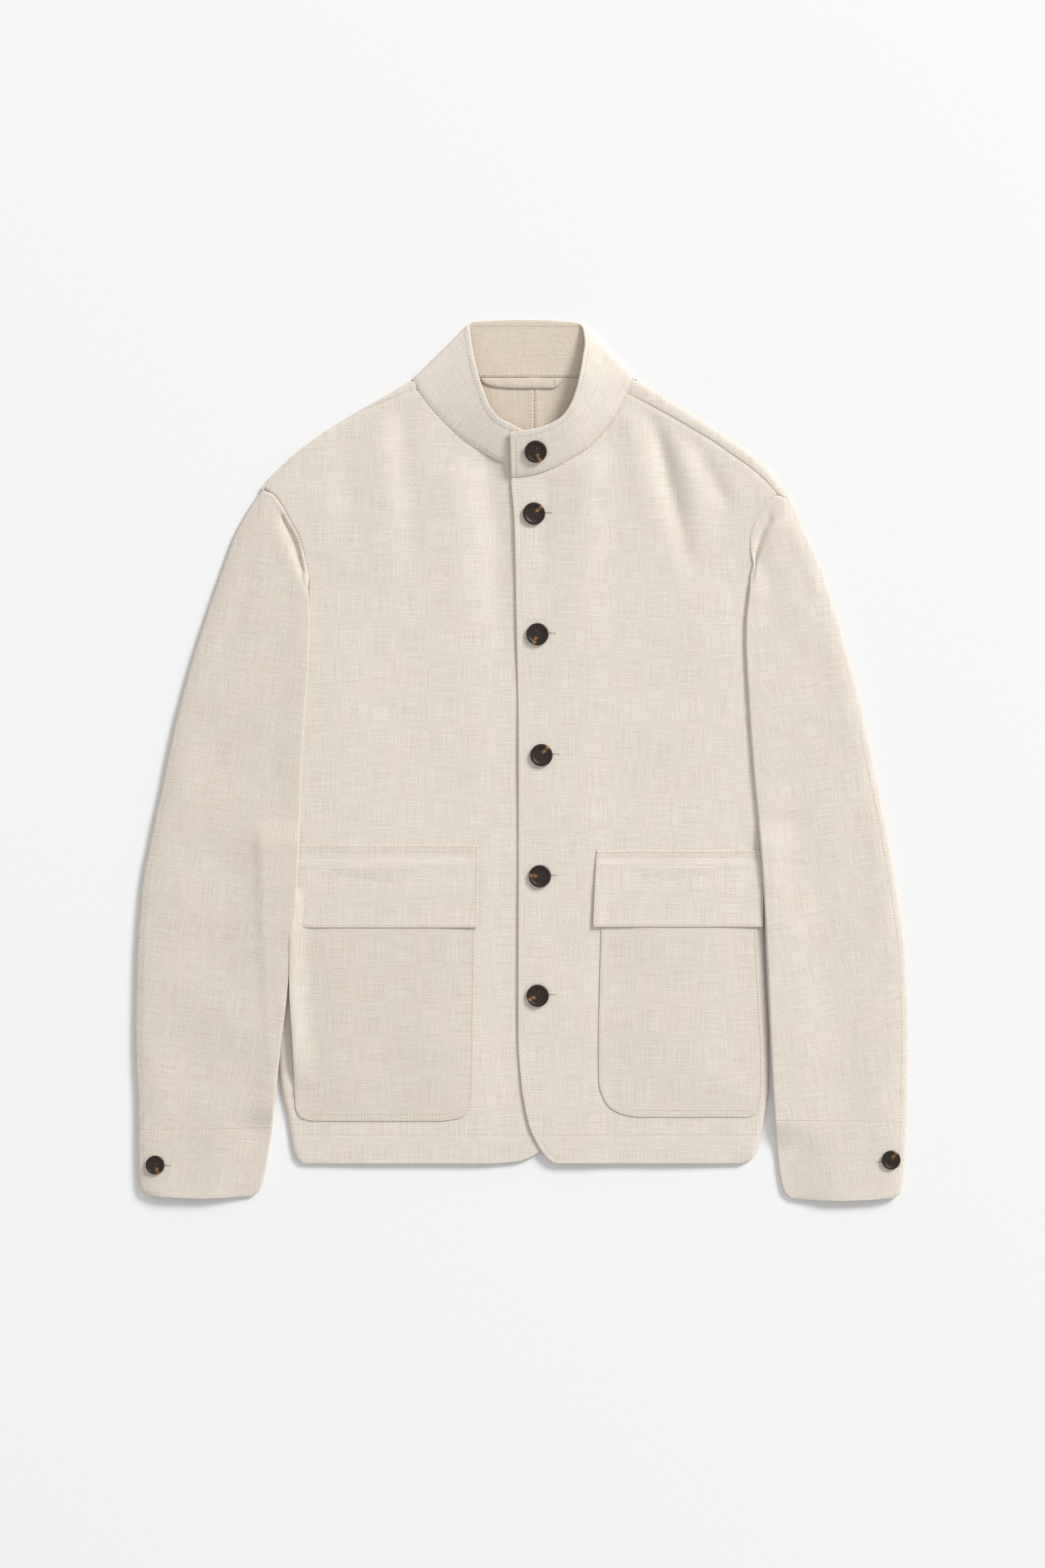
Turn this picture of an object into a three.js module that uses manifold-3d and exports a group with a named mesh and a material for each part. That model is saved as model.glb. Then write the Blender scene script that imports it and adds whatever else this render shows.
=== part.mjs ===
// A linen overshirt with a stand collar, laid flat on its back and buttoned up.
// Millimetres. X runs across the garment, to the wearer's left; Y runs up to the collar;
// Z runs up from the surface it lies on. The origin is the middle of its footprint.

import * as THREE from 'three';
import { mergeVertices } from 'three/addons/utils/BufferGeometryUtils.js';
import Module from 'manifold-3d';

// Driving dimensions
const WALL = 1.3; // one layer of linen with its turnings
const HALF = WALL / 2;
const COLLAR_WALL = 2.0; // two layers and a stiffener
const LOOP_WALL = 1.2;
const SEAM = 0.35; // gap between pieces that meet at a seam
const LAYER = WALL + SEAM; // from the middle of one layer to the middle of the next
const LAP = 0.9; // the lapped fronts lie this far above and below their common level
const ROLL = 7; // width of the rounded edge at the sides and shoulders
const FLOOR_ROLL = 4; // the same on the underside of the shoulders
const SIDE_RISE = 70; // the fronts reach their full height this far in from the sides
const SLEEVE_HEIGHT = 5.5; // middle of a sleeve's upper layer above the surface
const SLEEVE_LOFT = 4.8; // the same above its lower layer where it lies on the body
const SLEEVE_ROLL = 14; // width of a sleeve's rounded outer edge
const FOLD_ROLL = 6; // width of a sleeve's inner fold
const LEAN = 18; // a sleeve starts to climb onto the body this far out from its side
const LEAN_RISE = 10; // and is fully up after this width
const BACK_SEAM_X = 11.8; // centre-back seam, which lies a little to the wearer's left
const FRONT_BUTTON = { radius: 10, thickness: 3.2, holeRadius: 1.1, holeOffset: 1.9 };
const CUFF_BUTTON = { radius: 8.5, thickness: 2.8, holeRadius: 1.0, holeOffset: 1.7 };
const LINEN_COLOUR = 0xd8cebf;
const INNER_COLOUR = 0xcfc2b0;
const HORN_COLOUR = 0x2b201a;

const clamp = (t) => Math.min(1, Math.max(0, t));
const mix = (a, b, t) => a + (b - a) * t;

function smooth(t) {
  const c = clamp(t);
  return c * c * (3 - 2 * c);
}

// Quarter-ellipse height, from 0 at an edge to 1 at the roll's full width
const roundEdge = (t) => Math.sqrt(1 - (1 - clamp(t)) ** 2);

// Rows of numbers under named columns
function table(columns, rows) {
  return rows.map((row) => Object.fromEntries(columns.map((name, i) => [name, row[i]])));
}

// The row of a table at one value of a rising column, between its neighbours
function rowAt(rows, column, value) {
  const last = rows.length - 1;
  let i = rows.findIndex((row) => row[column] >= value);
  if (i < 0) i = last;
  const upper = rows[Math.max(i, 1)];
  const lower = rows[Math.max(i, 1) - 1];
  const t = clamp((value - lower[column]) / (upper[column] - lower[column]));
  return Object.fromEntries(Object.keys(lower).map((name) => [name, mix(lower[name], upper[name], t)]));
}

// The point at a share of the way through a list of rows, by their count
function rowAtShare(rows, share) {
  const place = clamp(share) * (rows.length - 1);
  const i = Math.min(Math.floor(place), rows.length - 2);
  const names = Object.keys(rows[0]);
  return Object.fromEntries(names.map((name) => [name, mix(rows[i][name], rows[i + 1][name], place - i)]));
}

// Plan distance from a point to a line of points
function distanceTo(line, x, y) {
  let best = Infinity;
  for (let i = 1; i < line.length; i += 1) {
    const a = line[i - 1];
    const dx = line[i].x - a.x;
    const dy = line[i].y - a.y;
    const t = clamp(((x - a.x) * dx + (y - a.y) * dy) / (dx * dx + dy * dy));
    best = Math.min(best, Math.hypot(x - a.x - dx * t, y - a.y - dy * t));
  }
  return best;
}

// Heights of the fronts' middle layer along the garment, well in from the sides
const crown = table(['y', 'z'], [
  [-362, 4.2],
  [-345, 4.8],
  [-310, 5.4],
  [200, 5.6],
  [256, 5.6],
  [345, 5.0],
]);

// Each half of the body. Its x is measured outward from the middle on its own side.
// outer: side, armhole and shoulder seam of the front, with the height it lies at;
// turned is 1 where the front rolls down over the side.
// inner: front edge, then neck seam. backOuter: edge of the back, flat on the surface;
// backTop: its fold at the shoulder, x, and the seam it is turned to, end; backNeck: y and x
// of its flat corner at the neck.
// shoulder: the fold where the back comes over, from the neck to the armhole.
const LEFT = {
  sign: 1,
  lap: LAP,
  outer: table(['y', 'x', 'z', 'turned'], [
    [-362.2, 200, 3.2, 1],
    [-357, 208.5, 3.6, 1],
    [-349, 212.4, 3.8, 1],
    [-330, 217.3, 4.0, 1],
    [-289, 223.0, 4.0, 1],
    [-250, 222.6, 4.0, 1],
    [-190, 219.8, 3.8, 1],
    [-148, 218.5, 3.8, 1],
    [-100, 219.0, 3.8, 1],
    [-50, 222.0, 3.8, 1],
    [0, 224.6, 3.8, 1],
    [92, 225.4, 3.6, 1],
    [106, 224.8, 3.4, 1],
    [118, 221.2, 3.4, 0],
    [136, 217.6, 3.4, 0],
    [154, 214.0, 3.4, 0],
    [172, 209.8, 3.4, 0],
    [183, 207.0, 3.8, 0],
    [196, 205.6, 4.4, 0],
    [208, 207.0, 4.6, 0],
    [218, 211.2, 4.8, 0],
    [226.5, 217.0, 4.9, 0],
    [235, 223.9, 5.0, 0],
    [238.3, 230.2, 5.0, 0],
    [251.7, 218.8, 5.0, 0],
    [263.5, 205.3, 5.0, 0],
    [275.2, 188.5, 5.0, 0],
    [287, 171.7, 5.0, 0],
    [297.1, 154.8, 5.0, 0],
    [308.9, 134.6, 5.0, 0],
    [319, 116.1, 5.0, 0],
    [329.3, 96.6, 5.0, 0],
  ]),
  inner: table(['y', 'x'], [
    [-362.2, 36.0],
    [-361, 29.8],
    [-357, 23.6],
    [-349, 17.2],
    [-341, 12.6],
    [-330, 7.6],
    [-316, 4.0],
    [-289, -0.3],
    [-250, -3.0],
    [0, -2.6],
    [145, -5.0],
    [215, -6.4],
    [254.6, -9.3],
    [256.4, 7.6],
    [261.4, 25.0],
    [269.4, 41.8],
    [279.6, 58.6],
    [292.8, 72.4],
    [307.5, 83.8],
    [320, 91.0],
    [329.3, 95.2],
  ]),
  backOuter: table(['y', 'x'], [
    [-362.2, 197],
    [-357, 205.4],
    [-349, 210.4],
    [-330, 215.3],
    [-289, 221.0],
    [-250, 220.6],
    [-190, 217.8],
    [-148, 216.3],
    [-100, 216.8],
    [-50, 219.8],
    [0, 222.6],
    [92, 223.4],
    [106, 222.6],
    [118, 219.6],
    [136, 216.4],
    [154, 213.2],
    [172, 212.2],
    [190, 215.6],
    [202, 218.2],
    [213, 222.2],
    [223.5, 228.2],
    [231.5, 234.5],
  ]),
  backTop: table(['y', 'x', 'end'], [
    [236.6, 240.2, 239.6],
    [238.0, 239.7, 235.6],
    [239.6, 238.7, 231.0],
    [251.7, 229.8, 219.6],
    [263.5, 220.4, 206.2],
    [275.2, 207.2, 189.6],
    [287, 190.8, 172.8],
    [297.1, 176.3, 156.0],
    [308.9, 158.0, 135.8],
    [319, 141.8, 117.4],
    [329.3, 125.4, 97.6],
    [336.3, 114.2, 99.6],
    [341.0, 106.2, 103.8],
  ]),
  backNeck: [[342.6, 104], [344, 97], [345.3, 88]],
  shoulder: table(['x', 'y'], [
    [101.8, 344.1],
    [137.8, 321.5],
    [171.4, 300.5],
    [205.3, 276.9],
    [222.2, 261.9],
    [232.3, 248.3],
    [240.7, 236.5],
  ]),
  // The armhole loop as the sleeve meets it, from the underarm fold to the shoulder:
  // its front at x y z, its back at backX backY backZ
  mouth: table(['x', 'y', 'z', 'backX', 'backY', 'backZ'], [
    [206.2, 167.5, 8.3, 206.6, 166.6, 5.9],
    [208.6, 177.5, 6.6, 212.6, 171.6, 5.4],
    [206.8, 189, 5.0, 215.2, 180.4, 2.0],
    [206.5, 200, 4.7, 216.8, 190.6, HALF],
    [210.2, 213.6, 4.8, 219.6, 202.6, HALF],
    [216.0, 223.6, 4.9, 223.8, 213.2, HALF],
    [222.9, 232.2, 5.0, 229.6, 223.2, HALF],
    [231.4, 236.9, 5.0, 236.2, 231.0, 0.9],
    [239.9, 235.6, 3.4, 240.2, 234.6, 2.2],
  ]),
  // Sections of the sleeve from its inner fold to its outer edge. straight goes from the
  // armhole's curve, 0, to a straight section, 1; rise from the seam's height to the sleeve's.
  sleeve: table(['innerX', 'innerY', 'outerX', 'outerY', 'straight', 'rise'], [
    [206.6, 163, 243.2, 231, 0.24, -0.25],
    [206.4, 158, 246.6, 224.5, 0.42, 0.4],
    [205.8, 153, 250.5, 215.5, 0.62, 0.9],
    [204.6, 145, 256, 202, 0.82, 1],
    [203.4, 138, 262.5, 188, 1, 1],
    [202.3, 124, 271, 167, 1, 1],
    [202, 104, 280.5, 138, 1, 1],
    [202.8, 82, 290, 106, 1, 1],
    [204.4, 54, 300.5, 67, 1, 1],
    [206.6, 20, 311, 20, 1, 1],
    [209.5, -15, 320, -22, 1, 1],
    [213.6, -60, 329, -68, 1, 1],
    [217.6, -112, 338, -120, 1, 1],
    [220.6, -170, 344.8, -178, 1, 1],
    [223.6, -240, 347, -245, 1, 1],
    [226.8, -305, 346.2, -310, 1, 1],
    [229.4, -345, 344.8, -350, 1, 1],
    [234.2, -378, 341.4, -378, 1, 1],
    [239.4, -392, 337.4, -390.6, 1, 1],
  ]),
};

const RIGHT = {
  sign: -1,
  lap: -LAP,
  outer: table(['y', 'x', 'z', 'turned'], [
    [-361.8, 199, 3.2, 1],
    [-357, 203.6, 3.6, 1],
    [-349.5, 206, 3.8, 1],
    [-324, 210.2, 4.0, 1],
    [-293, 216.8, 4.0, 1],
    [-251, 220.4, 4.0, 1],
    [-185, 224.0, 3.8, 1],
    [-95, 226.4, 3.8, 1],
    [0, 227.0, 3.8, 1],
    [67, 225.8, 3.6, 1],
    [98, 220.6, 3.4, 1],
    [108, 213.6, 3.4, 0],
    [121, 202.0, 3.4, 0],
    [142, 194.2, 3.4, 0],
    [160.7, 191.9, 3.4, 0],
    [174.3, 194.5, 3.8, 0],
    [189.3, 197.0, 4.4, 0],
    [202.9, 201.2, 4.6, 0],
    [213, 207.2, 4.7, 0],
    [224.7, 213.0, 4.8, 0],
    [235, 218.9, 4.9, 0],
    [241.5, 226.0, 5.0, 0],
    [245.2, 230.6, 5.0, 0],
    [259.2, 218.0, 5.0, 0],
    [275.1, 201.4, 5.0, 0],
    [288, 185.0, 5.0, 0],
    [300, 168.0, 5.0, 0],
    [313.8, 143.6, 5.0, 0],
    [322.5, 123.6, 5.0, 0],
    [333.0, 96.4, 5.0, 0],
  ]),
  inner: table(['y', 'x'], [
    [-361.8, 25.0],
    [-360.3, 4.6],
    [-357, -6.0],
    [-349.5, -18.4],
    [-341, -25.0],
    [-330, -29.6],
    [-312, -32.8],
    [-290, -33.4],
    [256.6, -33.4],
    [258.2, -14.2],
    [261.4, -1.6],
    [266, 11.9],
    [274.2, 28.4],
    [286.3, 48.9],
    [297.7, 63.0],
    [313.2, 78.2],
    [326, 87.8],
    [333.0, 93.4],
  ]),
  backOuter: table(['y', 'x'], [
    [-361.8, 197],
    [-357, 201.6],
    [-349.5, 204],
    [-324, 208.2],
    [-293, 214.8],
    [-251, 218.4],
    [-185, 222.0],
    [-95, 224.4],
    [0, 225.0],
    [67, 223.8],
    [98, 218.4],
    [108, 212.0],
    [121, 201.4],
    [142, 196.4],
    [158, 196.8],
    [174, 201.2],
    [189, 205.6],
    [203, 210.6],
    [215, 217.0],
    [228, 223.6],
    [238, 229.0],
  ]),
  backTop: table(['y', 'x', 'end'], [
    [244.2, 233.6, 233.2],
    [246.2, 232.6, 231.4],
    [259.2, 220.8, 218.8],
    [275.1, 204.2, 202.2],
    [288, 187.8, 185.8],
    [300, 170.6, 168.8],
    [313.8, 147.4, 144.6],
    [322.5, 132.4, 124.8],
    [333.0, 114.0, 97.2],
    [340.6, 101.4, 99.4],
  ]),
  backNeck: [[342.4, 99], [344, 94], [345.3, 88]],
  shoulder: table(['x', 'y'], [
    [98.0, 343.4],
    [128.6, 325.7],
    [154.0, 310.6],
    [179.3, 295.5],
    [201.2, 278.7],
    [219.8, 260.9],
    [235.2, 244.6],
  ]),
  mouth: table(['x', 'y', 'z', 'backX', 'backY', 'backZ'], [
    [192.0, 157.6, 8.3, 192.4, 156.6, 5.9],
    [193.6, 166, 6.6, 198.4, 160.6, 5.2],
    [196.0, 179, 5.0, 202.6, 175.0, 1.6],
    [198.6, 191.6, 4.7, 206.8, 189.4, HALF],
    [203.3, 204.6, 4.8, 211.8, 203.0, HALF],
    [209.8, 215.4, 4.9, 218.0, 214.6, HALF],
    [216.0, 227.2, 5.0, 224.6, 227.2, HALF],
    [224.6, 238.2, 5.0, 230.4, 236.8, 0.9],
    [233.0, 241.8, 3.4, 233.6, 240.6, 2.2],
  ]),
  sleeve: table(['innerX', 'innerY', 'outerX', 'outerY', 'straight', 'rise'], [
    [193.0, 153.4, 236.6, 238.5, 0.24, -0.25],
    [192.6, 149, 240.4, 233.5, 0.42, 0.4],
    [192.0, 144, 244.6, 227, 0.62, 0.9],
    [191.5, 138, 250.5, 217, 0.82, 1],
    [191, 131, 258.5, 200, 1, 1],
    [190.7, 117, 267.5, 175, 1, 1],
    [191.1, 98, 278, 145, 1, 1],
    [192.2, 76, 289, 112, 1, 1],
    [194.2, 46, 300.5, 74, 1, 1],
    [196.8, 6, 314, 21, 1, 1],
    [198.5, -38, 323.5, -26, 1, 1],
    [200.2, -88, 333, -70, 1, 1],
    [203.2, -138, 341.8, -120, 1, 1],
    [209.6, -202, 346, -190, 1, 1],
    [216.8, -260, 347, -254, 1, 1],
    [222.4, -312, 344.8, -308, 1, 1],
    [227.0, -347, 344.6, -346, 1, 1],
    [232.6, -374, 343.2, -374, 1, 1],
    [237.4, -389, 339, -388.4, 1, 1],
  ]),
};

// Soft folds of the fronts: a line from x1 y1 to x2 y2, its half width and its height
const folds = table(['side', 'x1', 'y1', 'x2', 'y2', 'width', 'height'], [
  [1, 129, 309, 143, 262, 9, -1.2],
  [1, 143, 262, 166, 165, 11, -1.0],
  [1, 169, 279, 198, 236, 8, -1.0],
  [1, 60, 250, 40, 130, 16, 0.6],
  [-1, 133, 330, 120, 140, 13, 0.9],
  [-1, 30, 250, 24, 120, 14, -0.7],
]);

function foldHeight(side, x, y) {
  let sum = 0;
  for (const fold of folds) {
    if (fold.side !== side.sign) continue;
    const line = [{ x: fold.x1, y: fold.y1 }, { x: fold.x2, y: fold.y2 }];
    sum += fold.height * Math.exp(-((distanceTo(line, x, y) / fold.width) ** 2));
  }
  return sum;
}

// Height of the front's middle layer as if it had no rounded edges
function bodyHeight(side, x, y) {
  const edge = rowAt(side.outer, 'y', y);
  const inward = smooth((edge.x - x) / SIDE_RISE);
  const lapped = side.lap * smooth((64 + 22 * side.sign - x) / 30);
  const level = mix(edge.z, rowAt(crown, 'y', y).z + foldHeight(side, x, y), inward);
  return level + lapped;
}

// The same with the roll down over the side and over the shoulder
function bodyTop(side, x, y) {
  const edge = rowAt(side.outer, 'y', y);
  const height = bodyHeight(side, x, y);
  const overSide = mix(1, roundEdge((edge.x - HALF - x) / ROLL), edge.turned);
  const overShoulder = roundEdge((distanceTo(side.shoulder, x, y) - HALF) / ROLL);
  const sideFoot = HALF + 0.35;
  const shoulderFoot = (HALF + height) / 2;
  const rolled = sideFoot + (height - sideFoot) * overSide;
  return Math.min(rolled, shoulderFoot + (height - shoulderFoot) * overShoulder);
}

// Underside of the roll at the shoulder, where the back leaves the surface
function backFloor(side, x, y) {
  const middle = (HALF + bodyHeight(side, x, y)) / 2;
  const rolled = roundEdge((distanceTo(side.shoulder, x, y) - HALF) / FLOOR_ROLL);
  return middle - (middle - HALF) * rolled;
}

// Closed wall round a grid of points in its middle layer. Rows have one length; looped
// rows close on themselves, as round a sleeve. thickness is a number or a function of row
// and column.
function wall(name, rows, thickness, colour, looped = false) {
  const count = rows[0].length;
  const last = rows.length - 1;
  const point = (i, j) => rows[i][looped ? (j + count) % count : Math.min(count - 1, Math.max(0, j))];
  const thicknessAt = typeof thickness === 'function' ? thickness : () => thickness;
  const positions = [];
  for (const face of [1, -1]) {
    for (let i = 0; i <= last; i += 1) {
      for (let j = 0; j < count; j += 1) {
        const along = point(Math.min(i + 1, last), j).clone().sub(point(Math.max(i - 1, 0), j));
        const across = point(i, j + 1).clone().sub(point(i, j - 1));
        const offset = (face * thicknessAt(i, j)) / 2;
        const normal = along.cross(across).normalize().multiplyScalar(offset);
        const place = point(i, j).clone().add(normal);
        positions.push(place.x, place.y, Math.max(place.z, 0));
      }
    }
  }
  const face = rows.length * count;
  const index = [];
  const quad = (a, b, c, d) => index.push(a, b, c, a, c, d);
  const steps = looped ? count : count - 1;
  for (let i = 0; i < last; i += 1) {
    for (let j = 0; j < steps; j += 1) {
      const a = i * count + j;
      const b = i * count + ((j + 1) % count);
      quad(a, a + count, b + count, b);
      quad(face + a, face + b, face + b + count, face + a + count);
    }
    if (!looped) {
      const start = i * count;
      const end = start + count - 1;
      quad(start, face + start, face + start + count, start + count);
      quad(end, end + count, face + end + count, face + end);
    }
  }
  for (let j = 0; j < steps; j += 1) {
    const next = (j + 1) % count;
    const top = last * count;
    quad(j, next, face + next, face + j);
    quad(top + j, face + top + j, face + top + next, top + next);
  }
  return solid(name, positions, index, colour, 0.92);
}

// Named mesh of a closed surface, turned inside out where its volume comes out negative
function solid(name, positions, index, colour, roughness) {
  const corner = (k) => new THREE.Vector3().fromArray(positions, index[k] * 3);
  let volume = 0;
  for (let k = 0; k < index.length; k += 3) {
    volume += corner(k).dot(corner(k + 1).cross(corner(k + 2)));
  }
  if (volume < 0) {
    for (let k = 0; k < index.length; k += 3) {
      [index[k + 1], index[k + 2]] = [index[k + 2], index[k + 1]];
    }
  }
  const geometry = new THREE.BufferGeometry();
  geometry.setAttribute('position', new THREE.Float32BufferAttribute(positions, 3));
  geometry.setIndex(index);
  geometry.computeVertexNormals();
  const material = new THREE.MeshStandardMaterial({ color: colour, roughness, metalness: 0 });
  const mesh = new THREE.Mesh(geometry, material);
  mesh.name = name;
  return mesh;
}

// Levels that two tables share, with more where they are far apart
function levelsOf(first, second, longest, shortest) {
  const all = [...first, ...second].map((row) => row.y).sort((a, b) => a - b);
  const top = Math.min(first[first.length - 1].y, second[second.length - 1].y);
  const levels = [all[0]];
  for (const y of all) {
    const gap = y - levels[levels.length - 1];
    if (gap < shortest || y > top) continue;
    const parts = Math.ceil(gap / longest);
    const from = levels[levels.length - 1];
    for (let k = 1; k <= parts; k += 1) levels.push(mix(from, y, k / parts));
  }
  levels[levels.length - 1] = top;
  return levels;
}

// A front: one row at each level, from its front edge or neck seam to its outer edge
const FRONT_COLUMNS = 7;
const FRONT_EDGE_COLUMNS = 3;

function frontPanel(side, name) {
  const rows = levelsOf(side.outer, side.inner, 40, 2.5).map((y) => {
    const outer = rowAt(side.outer, 'y', y).x - mix(SEAM / 2, HALF, rowAt(side.outer, 'y', y).turned);
    const inner = rowAt(side.inner, 'y', y).x;
    const roll = Math.min(ROLL, 0.4 * (outer - inner));
    const row = [];
    for (let k = 0; k < FRONT_COLUMNS; k += 1) {
      row.push(mix(inner, outer - roll, k / FRONT_COLUMNS));
    }
    for (let k = 0; k <= FRONT_EDGE_COLUMNS; k += 1) {
      row.push(outer - roll * (1 - Math.sin((k / FRONT_EDGE_COLUMNS) * (Math.PI / 2))));
    }
    return row.map((x) => new THREE.Vector3(side.sign * x, y, bodyTop(side, x, y)));
  });
  return wall(name, rows, WALL, LINEN_COLOUR);
}

// A back: flat on the surface, and turned over the shoulder to the forward shoulder seam.
// Its rows have BACK_COLUMNS steps to the fold, then TURN_COLUMNS up to it and as many past it.
const BACK_COLUMNS = 4;
const TURN_COLUMNS = 3;
const TURN_START = 6; // the back leaves the surface this far in from the fold
const FOLD_WALL = 0.6; // the cloth is pressed thin in the fold
const FLAT_STRIP = 2; // what becomes the turned part is this wide where the back lies flat

function backPanel(side, name) {
  const centre = side.sign * BACK_SEAM_X + SEAM / 2;
  const vector = (x, y, z) => new THREE.Vector3(side.sign * x, y, z);
  const rowOf = (y, fold, end, floorAt, topAt) => {
    const row = [];
    for (let k = 0; k < BACK_COLUMNS; k += 1) {
      row.push(vector(mix(centre, fold - TURN_START, k / BACK_COLUMNS), y, HALF));
    }
    for (let k = 0; k <= TURN_COLUMNS; k += 1) {
      const place = fold - TURN_START * (1 - Math.sin((k / TURN_COLUMNS) * (Math.PI / 2)));
      row.push(vector(place, y, floorAt(place)));
    }
    for (let k = 1; k <= TURN_COLUMNS; k += 1) {
      const place = mix(fold, end, (k / TURN_COLUMNS) ** 1.4);
      row.push(vector(place, y, topAt(place)));
    }
    return row;
  };
  const flatRow = (y, outer) => rowOf(y, outer - FLAT_STRIP, outer, () => HALF, () => HALF);
  const turnedRow = ({ y, x, end }) =>
    rowOf(y, x, end, (place) => backFloor(side, place, y), (place) => bodyTop(side, place, y));
  const levels = levelsOf(side.backOuter, side.backOuter, 90, 5);
  const rows = levels.map((y) => flatRow(y, rowAt(side.backOuter, 'y', y).x));
  rows.push(...side.backTop.map(turnedRow));
  for (const [y, outer] of side.backNeck) rows.push(flatRow(y, outer));
  const thickness = (i, j) => (i >= levels.length && j > BACK_COLUMNS ? FOLD_WALL : WALL);
  return wall(name, rows, thickness, INNER_COLOUR);
}

// Pocket and flap on each front, as rows from the hem side up: y, and x at its two edges.
// lift raises a row above the level it lies on.
const POCKETS = {
  pocket_left: { side: LEFT, layer: 1, rows: [[-319.8, 106, 204, 0], [-317.6, 92.4, 211, 0],
    [-308.7, 77.0, 215.2, 0], [-287.7, 69.6, 217.4, 0], [-250, 69.4, 216.6, 0.3],
    [-200, 70.4, 213.8, 0.5], [-152, 71.6, 212.0, 0.4], [-95, 72.4, 212.0, 0]] },
  pocket_right: { side: RIGHT, layer: 1, rows: [[-323.4, 72, 188, 0], [-320.4, 54.4, 198.6, 0],
    [-311, 45.2, 203.2, 0], [-297.9, 43.2, 203.8, 0], [-250, 42.6, 205.8, 0.3],
    [-200, 41.9, 208.6, 0.5], [-152, 41.3, 208.6, 0.4], [-95, 40.9, 206.0, 0]] },
  flap_left: { side: LEFT, layer: 2, rows: [[-149.1, 64.6, 212.6, 0.8], [-145, 64.4, 213.0, 0.6],
    [-122, 65.4, 212.4, 0.2], [-97, 66.6, 211.0, 0], [-91, 66.9, 210.4, 0], [-84, 67.2, 209.2, 0],
    [-80.2, 67.5, 208.4, 0]] },
  flap_right: { side: RIGHT, layer: 2, rows: [[-149.7, 39.4, 199.4, 0.8], [-146, 39.2, 199.4, 0.6],
    [-122, 38.9, 198.0, 0.2], [-97, 38.5, 196.4, 0], [-91, 38.4, 196.0, 0], [-80, 38.4, 195.2, 0],
    [-75.4, 38.9, 194.8, 0]] },
};
const POCKET_COLUMNS = 9;
const POCKET_TOP_Y = -95;
const FLAP_STEP = 8; // a flap comes down from its pocket to the front over this width

// Height of the layers sewn on a front, for the piece on the given layer
function layerHeight(side, x, y, layer) {
  const upper = layer === 2 ? smooth((POCKET_TOP_Y + FLAP_STEP - y) / (FLAP_STEP - 2)) : 0;
  return bodyTop(side, x, y) + LAYER * (1 + upper);
}

function pocketPiece(name, { side, layer, rows }) {
  const grid = table(['y', 'inner', 'outer', 'lift'], rows).map((row) =>
    Array.from({ length: POCKET_COLUMNS + 1 }, (_, k) => {
      const x = mix(row.inner, row.outer, k / POCKET_COLUMNS);
      return new THREE.Vector3(side.sign * x, row.y, layerHeight(side, x, row.y, layer) + row.lift);
    }));
  return wall(name, grid, WALL, LINEN_COLOUR);
}

// What is sewn on the body under a sleeve's edge: its height at each level
const sewnOn = table(['y', 'z'], [
  [-345, 0],
  [-325, 1.9],
  [-166, 2.2],
  [-148, 4.2],
  [-75, 4.0],
  [-55, 0],
]);

// Lower layer of a sleeve: on the surface, and up over the body's side where it lies on it
function sleeveFloor(side, x, y) {
  const outward = distanceTo(side.outer, x, y) * Math.sign(x - rowAt(side.outer, 'y', y).x);
  const lift = smooth((LEAN - outward) / LEAN_RISE);
  const onBody = bodyHeight(side, x, y) + LAYER + 0.25 + rowAt(sewnOn, 'y', y).z;
  return mix(HALF, onBody, lift);
}

const SLEEVE_STEPS = 12;

function sleeve(side, name) {
  const shares = Array.from({ length: SLEEVE_STEPS + 1 }, (_, k) => {
    const even = k / SLEEVE_STEPS;
    return mix(even, (1 - Math.cos(Math.PI * even)) / 2, 0.8);
  });
  const vector = (x, y, z) => new THREE.Vector3(side.sign * x, y, z);
  const ring = (upper, lower) => [...upper, ...lower.slice(1, -1).reverse()];
  const mouth = shares.map((share) => rowAtShare(side.mouth, share));
  const rows = [ring(
    mouth.map((p) => vector(p.x, p.y, p.z)),
    mouth.map((p) => vector(p.backX, p.backY, p.backZ)),
  )];
  side.sleeve.forEach((section, i) => {
    const cuff = i === side.sleeve.length - 1 ? 3.6 : 0;
    const upper = [];
    const lower = [];
    shares.forEach((share, k) => {
      const chordX = mix(section.innerX, section.outerX, share);
      const chordY = mix(section.innerY, section.outerY, share) - cuff * Math.sin(Math.PI * share);
      const width = Math.hypot(section.outerX - section.innerX, section.outerY - section.innerY);
      const upX = mix(mouth[k].x, chordX, section.straight);
      const upY = mix(mouth[k].y, chordY, section.straight);
      const lowX = mix(mouth[k].backX, chordX, section.straight);
      const lowY = mix(mouth[k].backY, chordY, section.straight);
      const floor = sleeveFloor(side, lowX, lowY);
      const innerTop = sleeveFloor(side, section.innerX, section.innerY) + SLEEVE_LOFT;
      const top = Math.max(mix(innerTop, SLEEVE_HEIGHT, smooth(share * 2.2)), floor + 2.6);
      const middle = (top + floor) / 2;
      const innerEdge = roundEdge((share * width) / FOLD_ROLL);
      const outerEdge = roundEdge(((1 - share) * width) / SLEEVE_ROLL);
      const edge = Math.min(innerEdge, outerEdge);
      const rise = mix(section.rise, smooth(i / 3), smooth((share - 0.6) / 0.3));
      const full = middle + (top - middle) * edge;
      upper.push(vector(upX, upY, Math.max(mix(mouth[k].z, full, rise), middle)));
      lower.push(vector(lowX, lowY, middle - (middle - floor) * edge));
    });
    rows.push(ring(upper, lower));
  });
  return wall(name, rows, WALL, LINEN_COLOUR, true);
}

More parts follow.
